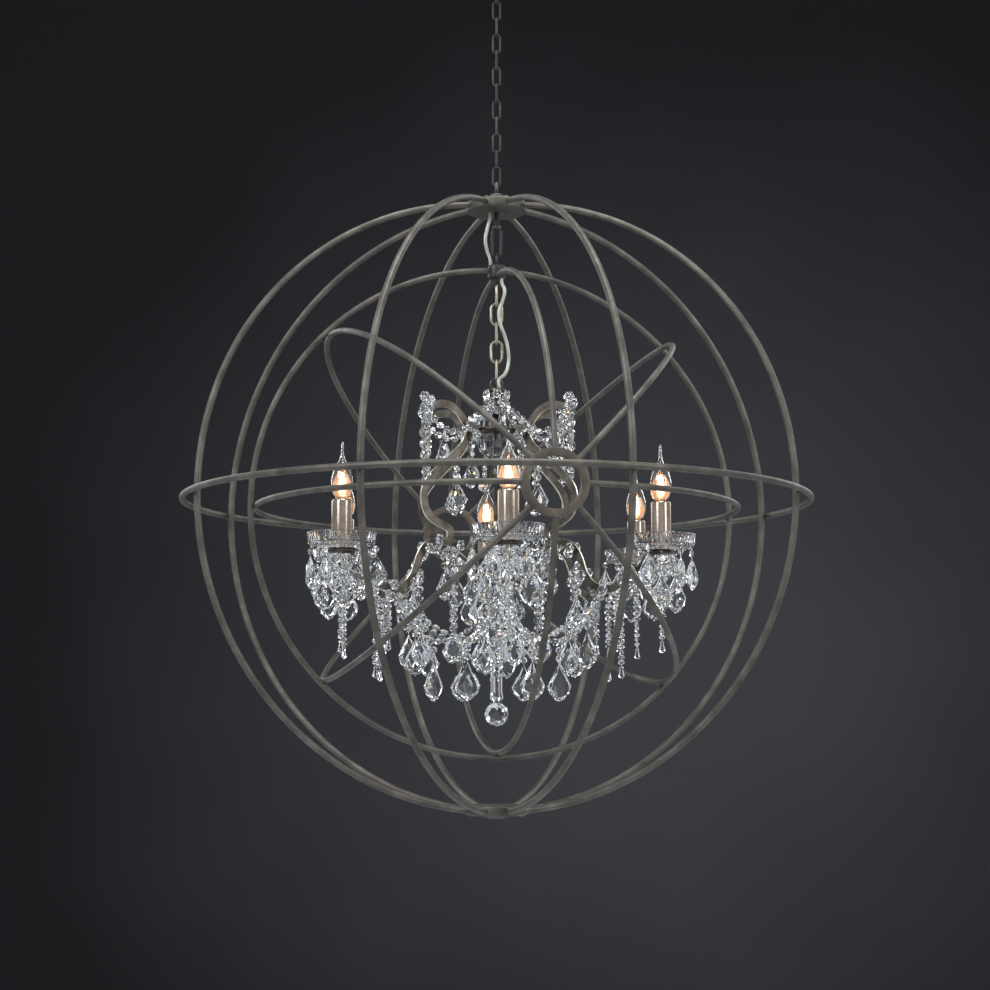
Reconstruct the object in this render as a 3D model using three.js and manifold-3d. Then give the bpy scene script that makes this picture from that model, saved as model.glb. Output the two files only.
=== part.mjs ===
// Orb chandelier: a six-light crystal candelabra that hangs inside a ring sphere, and the ring sphere
// inside a larger ring cage, on welded link chain below a ceiling rose. Millimetres, +Z up.
// The model's origin is the centre of the rose's top face, where it meets the ceiling.
// Heights below are first worked out from the centre of the outer cage, and the whole is then moved down.
import * as THREE from "three";
import { mergeVertices } from "three/addons/utils/BufferGeometryUtils.js";
import Module from "manifold-3d";

const wasm = await Module();
wasm.setup();

// General sizes
const seatGap = 0.3;
const weldBite = 0.2;
const socketGap = 0.4;
const cutOverrun = 3;
const holeOverrun = 12;
const mergeTolerance = 0.001;

// Ceiling rose and eye
const roseDiameter = 90;
const roseRimHeight = 5;
const roseHeight = 22;
const roseNeckDiameter = 28;
const eyeStemDiameter = 10;
const eyeStemSeat = 14;
const eyeStemShow = 6;
const eyeRingDiameter = 26;
const eyeWire = 6;

// Upper chain
const upperLinkLength = 34.4;
const upperLinkWidth = 15;
const upperLinkWire = 3.2;
const upperLinkCount = 12;

// Outer cage
const cageDiameter = 976;
const cageTube = 10;
const cageRibCount = 8;
const cageFirstRibAngle = 22.5;
const hubDiameter = 98;
const hubThickness = 16;
const hubLip = 2;
const ribSocketDepth = 8;
const setScrewDiameter = 6;
const setScrewHeight = 2.5;
const setScrewInset = 7;
const hubCollarDiameter = 22;
const hubCollarHeight = 15;
const hubRingDiameter = 18;
const hubRingWire = 5;
const bottomBossDiameter = 30;
const bottomBossHeight = 5;

// Rod and loop between the two top hubs
const rodDiameter = 8;
const rodSeat = 8;
const rodShow = 28;
const rodCollarDiameter = 14;
const rodCollarHeight = 6;
const rodLoopWidth = 19;
const rodLoopWire = 4.5;

// Inner ring sphere
const sphereDiameter = 768;
const sphereTube = 9;
const sphereRibCount = 8;
const sphereDrop = 12;
const discAngle = 12.5;
const discDiameter = 99;
const discBore = 76;
const discThickness = 13;
const discSocketDepth = 6;
const sphereHubDiameter = 28;
const sphereHubHeight = 22;
const sphereHubCap = 4;
const sphereRingDiameter = 20;
const sphereRingWire = 4;
const stapleWidth = 16;
const stapleDrop = 8;
const stapleWire = 4;

// Lower chain
const lowerLinkLength = 39;
const lowerLinkWidth = 22;
const lowerLinkWire = 4;
const lowerLinkCount = 5;

// Flex
const flexDiameter = 5.5;

// Candelabra stem, crown bowl, bottom drop
const stemRingDiameter = 18;
const stemRingWire = 4.5;
const stemCollarDiameter = 30;
const stemRodDiameter = 9;
const stemLength = 372;
const stemCollarHeight = 4;
const stemTaperHeight = 8;
const stemFootHeight = 8;
const stemFootFlare = 4;
const stemFootEdge = 2;
const crownPlateDiameter = 68;
const crownPlateThickness = 5;
const crownPlateDrop = 64;
const bowlDiameter = 70;
const bowlBaseDiameter = 26;
const bowlHeight = 36;
const bowlWall = 4;
const bowlDrop = 8;
const dropBeadSizes = [20, 32, 24];
const dropBite = 1.5;
const dropTubeDiameter = 20;
const dropTubeLength = 58;
const dropBallDiameter = 40;

// Basket frame and arms, bent from flat bar
const lightCount = 6;
const firstLightAngle = 3.5;
const uprightAngles = [60, 120, 240, 300];
const basketDiameter = 284;
const basketFootDiameter = 176;
const barWidth = 12;
const barThickness = 4;
const crestThickness = 3.4;
const crestReach = 120;
const crestHeight = 34;
const armReach = 282;
const armRootRadius = 20;
const armRise = 26;
const armDip = 77;
const armLowShare = 0.67;
const armRootStraight = 12;
const armHubDrop = 19;
const armThickness = 4;
const armHubDiameter = 60;
const armHubHeight = 26;
const armHubTopBevel = 3;
const armHubFootBevel = 6;
const armHubBevelHeight = 4;
const rosetteDiameter = 19;
const rosetteDepth = 11;
const rosetteBite = 0.8;
const panDiameter = 44;
const panThickness = 3;
const panBite = 1;

// Cups, candle sleeves and bulbs
const cupDiameter = 106;
const cupBaseDiameter = 46;
const cupHeight = 27;
const cupWall = 3;
const fluteDepth = 3;
const fluteCount = 8;
const spigotDiameter = 16;
const cupRimHeight = -62;
const sleeveDiameter = 32;
const sleeveHeight = 74;
const sleeveLip = 2.5;
const socketDiameter = 15;
const socketDepth = 26;
const bulbBaseDiameter = 13.8;
const bulbBaseLength = 27;
const bulbDiameter = 35;
const bulbHeight = 89;

// Crystals
const leafWidth = 22;
const leafLength = 46;
const leafDepth = 8;
const beadDiameter = 13;
const cupLeafCount = 3;
const skirtRingDiameter = 200;
const skirtDrop = 74;
const skirtBeadDiameter = 23;
const skirtBeadBite = 2;
const skirtBeadPitch = 27;
const skirtPinDiameter = 4;
const skirtLeafWidth = 26;
const skirtLeafLength = 56;
const skirtSagShare = 0.3;
const crestTipShare = 0.83;
const underScrollShare = 0.75;
const uprightShare = 0.05;
const cupLeafDropShare = 0.3;
const crownBeadDiameter = 12;
const crownBeadPitch = 20;
const tipBeadDiameter = 20;
const tipBeadPitch = 27;
const tipStringShare = 0.6;
const beadNeckShare = 0.3;
const beadSides = 4;
const crownRosetteReach = 58;
const crownRosetteDepth = 12;
const stemStrandReach = 14;
const stemStrandDrop = 20;
const rimStrandBite = 3;

// Facets
const tubeSides = 6;
const ribSteps = 12;
const hubSegments = 16;
const discSegments = 16;
const ringSegments = 32;
const linkArcSteps = 4;
const linkSides = 4;
const turnedSegments = 16;
const smallSegments = 12;
const candleSides = 10;
const stapleSteps = 8;
const screwSides = 5;
const dropSides = 8;
const flexSides = 8;
const bulbSides = 8;
const upperFlexSteps = 12;
const lowerFlexSteps = 20;

// Worked-out sizes
const degrees = Math.PI / 180;
const cageRadius = cageDiameter / 2;
const hubRadius = hubDiameter / 2;
const hubHeight = Math.sqrt(cageRadius ** 2 - hubRadius ** 2);
const facetShare = Math.cos(Math.PI / tubeSides);
const girdleRadius = cageRadius + (cageTube / 2) * (1 + facetShare) + seatGap;
const sphereRadius = sphereDiameter / 2;
const bandRadius = sphereRadius + (sphereTube / 2) * (1 + facetShare) + seatGap;
const discRadius = discDiameter / 2;
const discDistance = Math.sqrt(sphereRadius ** 2 - discRadius ** 2);
const bandTop = bandRadius - sphereDrop;
const sphereHubTop = bandTop + sphereTube / 2 + sphereHubCap;
const sphereHubBottom = sphereHubTop - sphereHubHeight;
const sphereRingCentre = sphereHubTop + sphereRingDiameter / 2 - sphereRingWire / 4;
const sphereRingBar = sphereRingCentre + sphereRingDiameter / 2;
const rodLoopBar = sphereRingBar - (sphereRingWire + rodLoopWire) / 2 - seatGap;
const hubBottom = hubHeight - hubThickness / 2;
const rodEnd = hubBottom - rodShow;
const hubRingCentre = hubHeight + hubThickness / 2 + hubCollarHeight + hubRingDiameter / 2;
const hubRingBar = hubRingCentre + hubRingDiameter / 2;
const upperLinkBars = upperLinkLength - upperLinkWire;
const upperPitch = upperLinkBars - upperLinkWire + weldBite;
const upperChainBottom = hubRingBar - (hubRingWire + upperLinkWire) / 2 - seatGap;
const upperChainTop = upperChainBottom + (upperLinkCount - 1) * upperPitch + upperLinkBars;
const eyeBar = upperChainTop - (upperLinkWire + eyeWire) / 2 - seatGap;
const eyeCentre = eyeBar + eyeRingDiameter / 2;
const eyeStemEnd = eyeCentre + eyeRingDiameter / 2;
const roseBottom = eyeStemEnd + eyeStemShow;
const ceilingHeight = roseBottom + roseHeight;
const stapleBar = sphereHubBottom - stapleDrop - stapleWidth / 2 + stapleWire / 2;
const lowerLinkBars = lowerLinkLength - lowerLinkWire;
const lowerPitch = lowerLinkBars - lowerLinkWire + weldBite;
const lowerChainTop = stapleBar + (stapleWire + lowerLinkWire) / 2 + seatGap;
const lowerChainBottom = lowerChainTop - lowerLinkBars - (lowerLinkCount - 1) * lowerPitch;
const stemRingBar = lowerChainBottom + (lowerLinkWire + stemRingWire) / 2 + seatGap;
const stemRingCentre = stemRingBar - stemRingDiameter / 2;
const stemTop = stemRingCentre - stemRingDiameter / 2 + stemRingWire / 4;
const stemBottom = stemTop - stemLength;
const crownPlateTop = stemTop - crownPlateDrop;
const bowlTop = crownPlateTop - crownPlateThickness - bowlDrop;
const cupBase = cupRimHeight - cupHeight;
const panTop = cupBase - seatGap;
const sleeveBottom = cupBase + cupWall + seatGap;
const sleeveTop = sleeveBottom + sleeveHeight;
const armPeak = panTop - panThickness + armRise;
const armHubTop = armPeak - armHubDrop;
const basketFoot = armPeak + barWidth / 2 + 3 * seatGap;

// Manifold from a closed geometry, and a geometry from a manifold
function solid(geometry) {
  const bare = geometry.index ? geometry.toNonIndexed() : geometry.clone();
  const positions = new THREE.BufferGeometry();
  positions.setAttribute("position", bare.getAttribute("position"));
  const merged = mergeVertices(positions, mergeTolerance);
  const mesh = new wasm.Mesh({
    numProp: 3,
    vertProperties: merged.attributes.position.array,
    triVerts: new Uint32Array(merged.index.array),
  });
  return new wasm.Manifold(mesh);
}

function geometryOf(body) {
  const mesh = body.getMesh();
  const geometry = new THREE.BufferGeometry();
  geometry.setAttribute("position", new THREE.BufferAttribute(mesh.vertProperties, 3));
  geometry.setIndex(new THREE.BufferAttribute(mesh.triVerts, 1));
  geometry.computeVertexNormals();
  return geometry;
}

function join(...pieces) {
  return geometryOf(pieces.map(solid).reduce((whole, piece) => whole.add(piece)));
}

function cut(body, ...tools) {
  return geometryOf(tools.map(solid).reduce((whole, tool) => whole.subtract(tool), solid(body)));
}

// Basic forms, each about the Z axis or along a curve
function revolve(profile, segments = turnedSegments) {
  const area = profile.reduce((sum, [r, z], i) => {
    const [nextR, nextZ] = profile[(i + 1) % profile.length];
    return sum + r * nextZ - nextR * z;
  }, 0);
  const ordered = area > 0 ? profile : [...profile].reverse();
  const onAxis = ordered.findIndex(([r], i) => r === 0 && ordered[(i + 1) % ordered.length][0] > 0);
  const points = onAxis < 0
    ? [...ordered, ordered[0]]
    : [...ordered.slice(onAxis), ...ordered.slice(0, onAxis)];
  const geometry = new THREE.LatheGeometry(points.map(([r, z]) => new THREE.Vector2(r, z)), segments);
  return geometry.rotateX(Math.PI / 2);
}

function polygon(diameter, sides, turn = 0) {
  const corners = [];
  for (let i = 0; i < sides; i += 1) {
    const angle = (i / sides) * 2 * Math.PI + turn;
    corners.push(new THREE.Vector2((diameter / 2) * Math.cos(angle), (diameter / 2) * Math.sin(angle)));
  }
  return new THREE.Shape(corners);
}

function tube(curve, diameter, steps, sides = tubeSides) {
  const options = { extrudePath: curve, steps, bevelEnabled: false };
  return new THREE.ExtrudeGeometry(polygon(diameter, sides), options);
}

function rod(diameter, bottom, top, sides = turnedSegments) {
  const geometry = new THREE.CylinderGeometry(diameter / 2, diameter / 2, top - bottom, sides);
  return geometry.rotateX(Math.PI / 2).translate(0, 0, (top + bottom) / 2);
}

function hoop(radius, diameter, segments = ringSegments, sides = tubeSides) {
  const profile = polygon(diameter, sides).getPoints().slice(0, sides);
  return revolve(profile.map((point) => [radius + point.x, point.y]), segments);
}

// A round ring that stands up in the XZ plane
function uprightRing(diameter, wire, centreHeight) {
  const ring = new THREE.TorusGeometry(diameter / 2, wire / 2, tubeSides, smallSegments);
  return ring.rotateX(Math.PI / 2).translate(0, 0, centreHeight);
}

// Arc in the XZ plane, from one polar angle to another, measured from +Z
class Meridian extends THREE.Curve {
  constructor(radius, from, to) {
    super();
    Object.assign(this, { radius, from, to });
  }
  getPoint(t, target = new THREE.Vector3()) {
    const angle = this.from + (this.to - this.from) * t;
    return target.set(this.radius * Math.sin(angle), 0, this.radius * Math.cos(angle));
  }
}

// Turn a piece drawn in the XZ plane to an azimuth measured from the front, -Y, towards +X
function toAzimuth(geometry, azimuth) {
  return geometry.rotateZ((azimuth - 90) * degrees);
}

// A chain link in the XZ plane: two straight sides and two half rounds
function link(length, width, wire, centreHeight) {
  const round = (width - wire) / 2;
  const straight = (length - wire) / 2 - round;
  const points = [];
  for (const end of [1, -1]) {
    for (let i = 0; i <= linkArcSteps; i += 1) {
      const angle = (end > 0 ? 0 : Math.PI) + (i / linkArcSteps) * Math.PI;
      points.push([round * Math.cos(angle), end * straight + round * Math.sin(angle)]);
    }
  }
  return closedWire(points, wire).translate(0, 0, centreHeight);
}

// Sweep a wire round a closed loop of [x, z] points, with a mitre at each point
function closedWire(points, wire) {
  const geometry = new THREE.BufferGeometry();
  const vertices = [];
  const faces = [];
  points.forEach(([x, z], i) => {
    const before = points[(i + points.length - 1) % points.length];
    const after = points[(i + 1) % points.length];
    const along = new THREE.Vector2(after[0] - before[0], after[1] - before[1]).normalize();
    for (let side = 0; side < linkSides; side += 1) {
      const angle = (side / linkSides) * 2 * Math.PI;
      const out = (wire / 2) * Math.cos(angle);
      vertices.push(x + along.y * out, (wire / 2) * Math.sin(angle), z - along.x * out);
      const next = (side + 1) % linkSides;
      const ahead = ((i + 1) % points.length) * linkSides;
      const here = i * linkSides;
      faces.push(here + side, ahead + next, ahead + side, here + side, here + next, ahead + next);
    }
  });
  geometry.setAttribute("position", new THREE.BufferAttribute(new Float32Array(vertices), 3));
  geometry.setIndex(faces);
  return geometry;
}

function chain(count, length, width, wire, topBar) {
  const pitch = length - 2 * wire + weldBite;
  const links = [];
  for (let i = 0; i < count; i += 1) {
    const piece = link(length, width, wire, topBar - (length - wire) / 2 - i * pitch);
    links.push(i % 2 ? piece : piece.rotateZ(Math.PI / 2));
  }
  return join(...links);
}

// The [r, z] points at the given shares of the way from one point to another
function between(shares, from, to) {
  return shares.map(([out, up]) => [from[0] + (to[0] - from[0]) * out, from[1] + (to[1] - from[1]) * up]);
}

// Flat bar set on edge along a line of [r, z] points: thin across, wide in the plane of the bend
function flatBar(points, thickness, width) {
  const line = new THREE.CatmullRomCurve3(points.map(([r, z]) => new THREE.Vector3(r, z, 0)));
  const steps = points.length - 1;
  const over = [];
  const under = [];
  line.getPoints(steps).forEach((point, i) => {
    const tangent = line.getTangent(i / steps);
    over.push(new THREE.Vector2(point.x - (tangent.y * width) / 2, point.y + (tangent.x * width) / 2));
    under.push(new THREE.Vector2(point.x + (tangent.y * width) / 2, point.y - (tangent.x * width) / 2));
  });
  const outline = new THREE.Shape([...under, ...over.reverse()]);
  const bar = new THREE.ExtrudeGeometry(outline, { depth: thickness, bevelEnabled: false });
  return bar.translate(0, 0, -thickness / 2).rotateX(Math.PI / 2);
}

// Crystals: an eight-sided bead and a flat kite-shaped leaf that hangs from its top point
function bead(diameter) {
  return new THREE.OctahedronGeometry(diameter / 2);
}

function leaf(width, length, depth) {
  const geometry = new THREE.OctahedronGeometry(1);
  const shoulderShare = 0.3;
  geometry.scale(width / 2, depth / 2, 1);
  const position = geometry.attributes.position;
  for (let i = 0; i < position.count; i += 1) {
    const z = position.getZ(i);
    const share = z > 0 ? 0 : z < 0 ? 1 : shoulderShare;
    position.setZ(i, -length * share);
  }
  return geometry;
}

// A strand of beads through a line of [r, y, z] points, as one body with a neck between each two
function strand(points, diameter, pitch) {
  const line = new THREE.CatmullRomCurve3(points.map(([r, y, z]) => new THREE.Vector3(r, y, z)));
  const stations = 2 * Math.ceil(line.getLength() / pitch);
  const up = new THREE.Vector3(0, 0, 1);
  const across = new THREE.Vector3(0, 1, 0);
  const vertices = [];
  const faces = [];
  for (let i = 0; i <= stations; i += 1) {
    const place = line.getPointAt(i / stations);
    const along = line.getTangentAt(i / stations);
    const side = new THREE.Vector3().crossVectors(along, up);
    if (side.length() < uprightShare) side.copy(across);
    const out = new THREE.Vector3().crossVectors(side.normalize(), along).normalize();
    const reach = (diameter / 2) * (i % 2 ? 1 : beadNeckShare);
    for (let k = 0; k < beadSides; k += 1) {
      const angle = (k / beadSides) * 2 * Math.PI;
      const corner = place.clone().addScaledVector(side, reach * Math.cos(angle));
      vertices.push(...corner.addScaledVector(out, reach * Math.sin(angle)).toArray());
      const next = (k + 1) % beadSides;
      const here = i * beadSides;
      const ahead = here + beadSides;
      if (i < stations) faces.push(here + k, ahead + k, ahead + next, here + k, ahead + next, here + next);
    }
  }
  const last = stations * beadSides;
  for (let k = 1; k < beadSides - 1; k += 1) {
    faces.push(0, k, k + 1);
    faces.push(last, last + k + 1, last + k);
  }
  const geometry = new THREE.BufferGeometry();
  geometry.setAttribute("position", new THREE.BufferAttribute(new Float32Array(vertices), 3));
  geometry.setIndex(faces);
  return geometry;
}

const chandelier = new THREE.Group();

const ironLook = { color: 0x6b665d, roughness: 0.45, metalness: 0.8 };
const darkIronLook = { color: 0x55504a, roughness: 0.5, metalness: 0.8 };
const warmSilverLook = { color: 0xa89c88, roughness: 0.3, metalness: 0.9 };
const gunmetalLook = { color: 0x8c8577, roughness: 0.35, metalness: 0.85 };
const nickelLook = { color: 0xb5b0a5, roughness: 0.2, metalness: 0.95 };
const crystalLook = { color: 0xe6ebee, roughness: 0.05, metalness: 0 };
const bulbLook = { color: 0xffe2b0, roughness: 0.1, metalness: 0 };
const flexLook = { color: 0xcfc4ac, roughness: 0.5, metalness: 0 };

function add(name, geometry, look) {
  const mesh = new THREE.Mesh(geometry, new THREE.MeshStandardMaterial(look));
  mesh.name = name;
  chandelier.add(mesh);
}

function ceilingRose() {
  const bore = eyeStemDiameter / 2 + seatGap;
  const flankShares = [[1, 0], [0.86, 0.3], [0.6, 0.52], [0.3, 0.72], [0, 1]];
  const neck = roseNeckDiameter / 2;
  const flank = between(flankShares, [neck, ceilingHeight - roseRimHeight], [roseDiameter / 2, roseBottom]);
  return revolve([
    [0, ceilingHeight],
    [roseDiameter / 2, ceilingHeight],
    ...flank,
    [bore, roseBottom],
    [bore, roseBottom + eyeStemSeat],
    [0, roseBottom + eyeStemSeat],
  ]);
}

function ceilingEye() {
  const top = roseBottom + eyeStemSeat - seatGap;
  const stem = rod(eyeStemDiameter, eyeStemEnd - eyeWire / 4, top, smallSegments);
  return join(stem, uprightRing(eyeRingDiameter, eyeWire, eyeCentre));
}

function rib(radius, diameter, startRadius, steps) {
  const from = Math.asin(startRadius / radius);
  return tube(new Meridian(radius, from, Math.PI - from), diameter, steps);
}

// A rib as a cutter, a little larger all round and moved along its arc, past its upper or its lower end
function ribCutter(radius, diameter, startRadius, upper) {
  const cutter = rib(radius, diameter + 2 * socketGap, startRadius, ribSteps);
  return cutter.rotateY(((upper ? -1 : 1) * seatGap) / radius);
}

function cageHub(top) {
  const face = hubThickness / 2;
  const rim = [[hubRadius, face - hubLip], [hubRadius, hubLip - face], [hubRadius - hubLip, -face]];
  const boss = bottomBossDiameter / 2;
  const rodBore = rodDiameter / 2 + seatGap;
  const under = top
    ? [[rodBore, -face], [rodBore, rodSeat - face], [0, rodSeat - face]]
    : [[boss, -face], [boss - hubLip, -face - bottomBossHeight], [0, -face - bottomBossHeight]];
  const plate = revolve([[0, face], [hubRadius - hubLip, face], ...rim, ...under], hubSegments);
  const extras = [];
  const sockets = [];
  for (let i = 0; i < cageRibCount; i += 1) {
    const azimuth = cageFirstRibAngle + (i * 360) / cageRibCount;
    const socket = ribCutter(cageRadius, cageTube, hubRadius - ribSocketDepth, top);
    sockets.push(toAzimuth(socket.translate(0, 0, top ? -hubHeight : hubHeight), azimuth));
    const screw = rod(setScrewDiameter, face - setScrewHeight, face + setScrewHeight, screwSides);
    extras.push(toAzimuth(screw.translate(hubRadius - setScrewInset, 0, 0), azimuth));
  }
  if (top) {
    const collarTop = face + hubCollarHeight;
    extras.push(rod(hubCollarDiameter, face - hubLip, collarTop, smallSegments));
    const ring = uprightRing(hubRingDiameter, hubRingWire, collarTop + hubRingDiameter / 2);
    extras.push(ring.rotateZ(Math.PI / 2));
    return cut(join(plate, ...extras), ...sockets).translate(0, 0, hubHeight);
  }
  // The bottom hub's screws are on the side seen from below
  const screws = extras.map((screw) => screw.translate(0, 0, -hubThickness));
  return cut(join(plate, ...screws), ...sockets).translate(0, 0, -hubHeight);
}

function outerCage() {
  for (let i = 0; i < cageRibCount; i += 1) {
    const azimuth = cageFirstRibAngle + (i * 360) / cageRibCount;
    const piece = rib(cageRadius, cageTube, hubRadius - ribSocketDepth, ribSteps);
    add(`cage_rib_${i + 1}`, toAzimuth(piece, azimuth), ironLook);
  }
  add("cage_girdle", hoop(girdleRadius, cageTube), ironLook);
  add("cage_top_hub", cageHub(true), ironLook);
  add("cage_bottom_hub", cageHub(false), ironLook);
}

function hangerRod() {
  const top = hubBottom + rodSeat - seatGap;
  const shaft = rod(rodDiameter, rodEnd, top, smallSegments);
  const collar = rod(rodCollarDiameter, rodEnd, rodEnd + rodCollarHeight, smallSegments);
  const loopTop = rodEnd + rodLoopWire / 4;
  const loopLength = loopTop - rodLoopBar + rodLoopWire;
  const loop = link(loopLength, rodLoopWidth, rodLoopWire, (loopTop + rodLoopBar) / 2);
  return join(shaft, collar, loop);
}

// The disc is drawn about Z at the sphere's pole, then laid over so that Z points at the disc
function toDisc(geometry, back) {
  const turned = geometry.rotateX(Math.PI / 2);
  const azimuth = discAngle + (back ? 180 : 0);
  return turned.rotateZ(azimuth * degrees).translate(0, 0, -sphereDrop);
}

function sphereDisc(back) {
  const face = discThickness / 2;
  const plate = revolve([
    [discBore / 2, -face],
    [discRadius, -face],
    [discRadius, face],
    [discBore / 2, face],
  ], discSegments).translate(0, 0, discDistance);
  const sockets = [];
  for (let i = 0; i < sphereRibCount; i += 1) {
    const socket = ribCutter(sphereRadius, sphereTube, discRadius - discSocketDepth, true);
    sockets.push(toAzimuth(socket, (i * 360) / sphereRibCount));
  }
  return toDisc(cut(plate, ...sockets), back);
}

function staple() {
  const half = stapleWidth / 2;
  const points = [];
  const legTop = sphereHubBottom + stapleWire;
  points.push(new THREE.Vector3(-half, 0, legTop));
  const bend = stapleBar + half;
  for (let i = 0; i <= 2 * linkArcSteps; i += 1) {
    const angle = Math.PI + (i / (2 * linkArcSteps)) * Math.PI;
    points.push(new THREE.Vector3(half * Math.cos(angle), 0, bend + half * Math.sin(angle)));
  }
  points.push(new THREE.Vector3(half, 0, legTop));
  return tube(new THREE.CatmullRomCurve3(points), stapleWire, stapleSteps);
}

function sphereHub() {
  const boss = rod(sphereHubDiameter, sphereHubBottom, sphereHubTop, smallSegments);
  const ring = uprightRing(sphereRingDiameter, sphereRingWire, sphereRingCentre).rotateZ(Math.PI / 2);
  const topRib = rib(sphereRadius, sphereTube + 2 * socketGap, discRadius - discSocketDepth, ribSteps);
  const ribCut = toDisc(toAzimuth(topRib, 180), false);
  const bandCut = toDisc(hoop(bandRadius, sphereTube + 2 * socketGap), false);
  const turned = join(boss, staple()).rotateZ(discAngle * degrees);
  return cut(join(turned, ring), bandCut, ribCut);
}

function innerSphere() {
  for (let i = 0; i < sphereRibCount; i += 1) {
    const piece = rib(sphereRadius, sphereTube, discRadius - discSocketDepth, ribSteps);
    const turned = toAzimuth(piece, (i * 360) / sphereRibCount);
    add(`sphere_rib_${i + 1}`, toDisc(turned, false), ironLook);
  }
  add("sphere_band", toDisc(hoop(bandRadius, sphereTube), false), ironLook);
  add("front_disc", sphereDisc(false), ironLook);
  add("back_disc", sphereDisc(true), ironLook);
  add("sphere_hub", sphereHub(), darkIronLook);
}

// Flex: the points are chosen by hand, from its exit to its end
function flex(points, steps) {
  const route = new THREE.CatmullRomCurve3(points.map(([x, y, z]) => new THREE.Vector3(x, y, z)));
  return tube(route, flexDiameter, steps, flexSides);
}

function upperFlex() {
  return flex([
    [-11, 0, hubBottom - seatGap],
    [-11, 0, hubBottom - seatGap - 8],
    [-15, 0, hubBottom - 26],
    [-18, 0, hubBottom - 44],
    [-15.5, 0, hubBottom - 62],
    [-10, 0, sphereHubTop + seatGap + 9],
    [-9.5, 0, sphereHubTop + seatGap],
  ], upperFlexSteps);
}

function lowerFlex() {
  return flex([
    [8, -8, sphereHubBottom - 3 * seatGap],
    [8.5, -8.5, sphereHubBottom - 8],
    [13, -11, 347],
    [10, -16, 328],
    [4, -18, 310],
    [6, -18, 290],
    [14, -13, 268],
    [19, -8, 246],
    [19, -6, 226],
    [13, -9, 208],
    [4, -11, 199],
    [4, -11, stemTop + 2 * seatGap],
  ], lowerFlexSteps);
}

function stem() {
  const collar = stemCollarDiameter / 2;
  const thin = stemRodDiameter / 2;
  const turning = [
    [0, stemTop],
    [collar, stemTop],
    [collar, stemTop - stemCollarHeight],
    [thin, stemTop - stemCollarHeight - stemTaperHeight],
    [thin, stemBottom + stemFootHeight + stemFootFlare],
    [thin + stemFootFlare, stemBottom + stemFootHeight],
    [thin + stemFootEdge, stemBottom],
    [0, stemBottom],
  ];
  return join(revolve(turning, smallSegments), uprightRing(stemRingDiameter, stemRingWire, stemRingCentre));
}

function crownBowl() {
  const bore = stemRodDiameter / 2 + seatGap;
  const bottom = bowlTop - bowlHeight;
  const rim = bowlDiameter / 2;
  const base = bowlBaseDiameter / 2;
  const bellyShares = [[0, 0], [0.45, 0.16], [0.8, 0.5], [1, 1]];
  const outside = between(bellyShares, [base, bottom], [rim, bowlTop]);
  const inside = outside.map(([r, z]) => [r - bowlWall, Math.max(z, bottom + bowlWall)]).reverse();
  const bowl = revolve([[bore, bottom], ...outside, ...inside, [bore, bottom + bowlWall]]);
  const pieces = [];
  for (const angle of uprightAngles) {
    const azimuth = firstLightAngle + angle;
    pieces.push(...crownCrystals().map((piece) => toAzimuth(piece, azimuth)));
  }
  return join(bowl, ...pieces);
}

// The crystals on one upright: a string at the scroll's tip, and strands from there and from the
// stem's top to a pair of rosettes at its root, which are strung on the bowl's rim
function crownCrystals() {
  const root = crownPlateTop - crownPlateThickness / 2;
  const beside = barThickness / 2 + seatGap + crownRosetteDepth / 2;
  const tip = [crestReach + 2 * seatGap + tipBeadDiameter / 2, 0, root + crestHeight * crestTipShare];
  const tipTop = tip[2] + tipBeadDiameter / 2;
  const tipFoot = tipTop - (root - basketFoot) * tipStringShare;
  const pair = [crownRosetteReach, beside, root];
  const neck = [stemStrandReach, 0, stemTop - stemStrandDrop];
  const knee = [(neck[0] + pair[0]) / 2, beside, (neck[2] + pair[2]) / 2];
  const underShares = [[0.84, 0.9, 0.6], [0.62, 0.9, 0.2], [0.34, 0.6, 0]];
  const under = underShares.map(([out, inward, up]) => [
    pair[0] + (tip[0] - pair[0]) * out,
    beside * (1 - inward),
    root + (tip[2] - root) * up - crownBeadDiameter * underScrollShare,
  ]);
  const pieces = [
    strand([[tip[0], 0, tipTop], [tip[0], 0, tipFoot]], tipBeadDiameter, tipBeadPitch),
    strand([tip, ...under, pair], crownBeadDiameter, crownBeadPitch),
    strand([neck, knee, [pair[0], beside, root + rosetteDiameter / 2]], crownBeadDiameter, crownBeadPitch),
  ];
  const rimRadius = bowlDiameter / 2 - bowlWall / 2 - rimStrandBite / 4;
  const rim = [Math.sqrt(rimRadius ** 2 - beside ** 2), beside, bowlTop - rimStrandBite];
  for (const side of [1, -1]) {
    const rosette = bead(rosetteDiameter).scale(1, crownRosetteDepth / rosetteDiameter, 1);
    pieces.push(rosette.translate(pair[0], side * beside, root));
    const link = [[pair[0], side * beside, root], [rim[0], side * beside, rim[2]]];
    pieces.push(strand(link, crownBeadDiameter, crownBeadPitch));
  }
  return pieces;
}

function bottomDrop() {
  const pieces = [];
  let top = stemBottom - seatGap;
  for (const size of dropBeadSizes) {
    pieces.push(bead(size).translate(0, 0, top - size / 2));
    top -= size - dropBite;
  }
  const radius = dropTubeDiameter / 2;
  const tubeShares = [[0, 0], [0.5, 0], [1, 0.16], [0.8, 0.5], [1, 0.84], [0.5, 1], [0, 1]];
  const tubeLine = between(tubeShares, [0, top], [radius, top - dropTubeLength]);
  pieces.push(revolve(tubeLine, dropSides));
  const ball = new THREE.IcosahedronGeometry(dropBallDiameter / 2, 1);
  pieces.push(ball.translate(0, 0, top - dropTubeLength - dropBallDiameter / 2 + dropBite));
  return join(...pieces);
}

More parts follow.
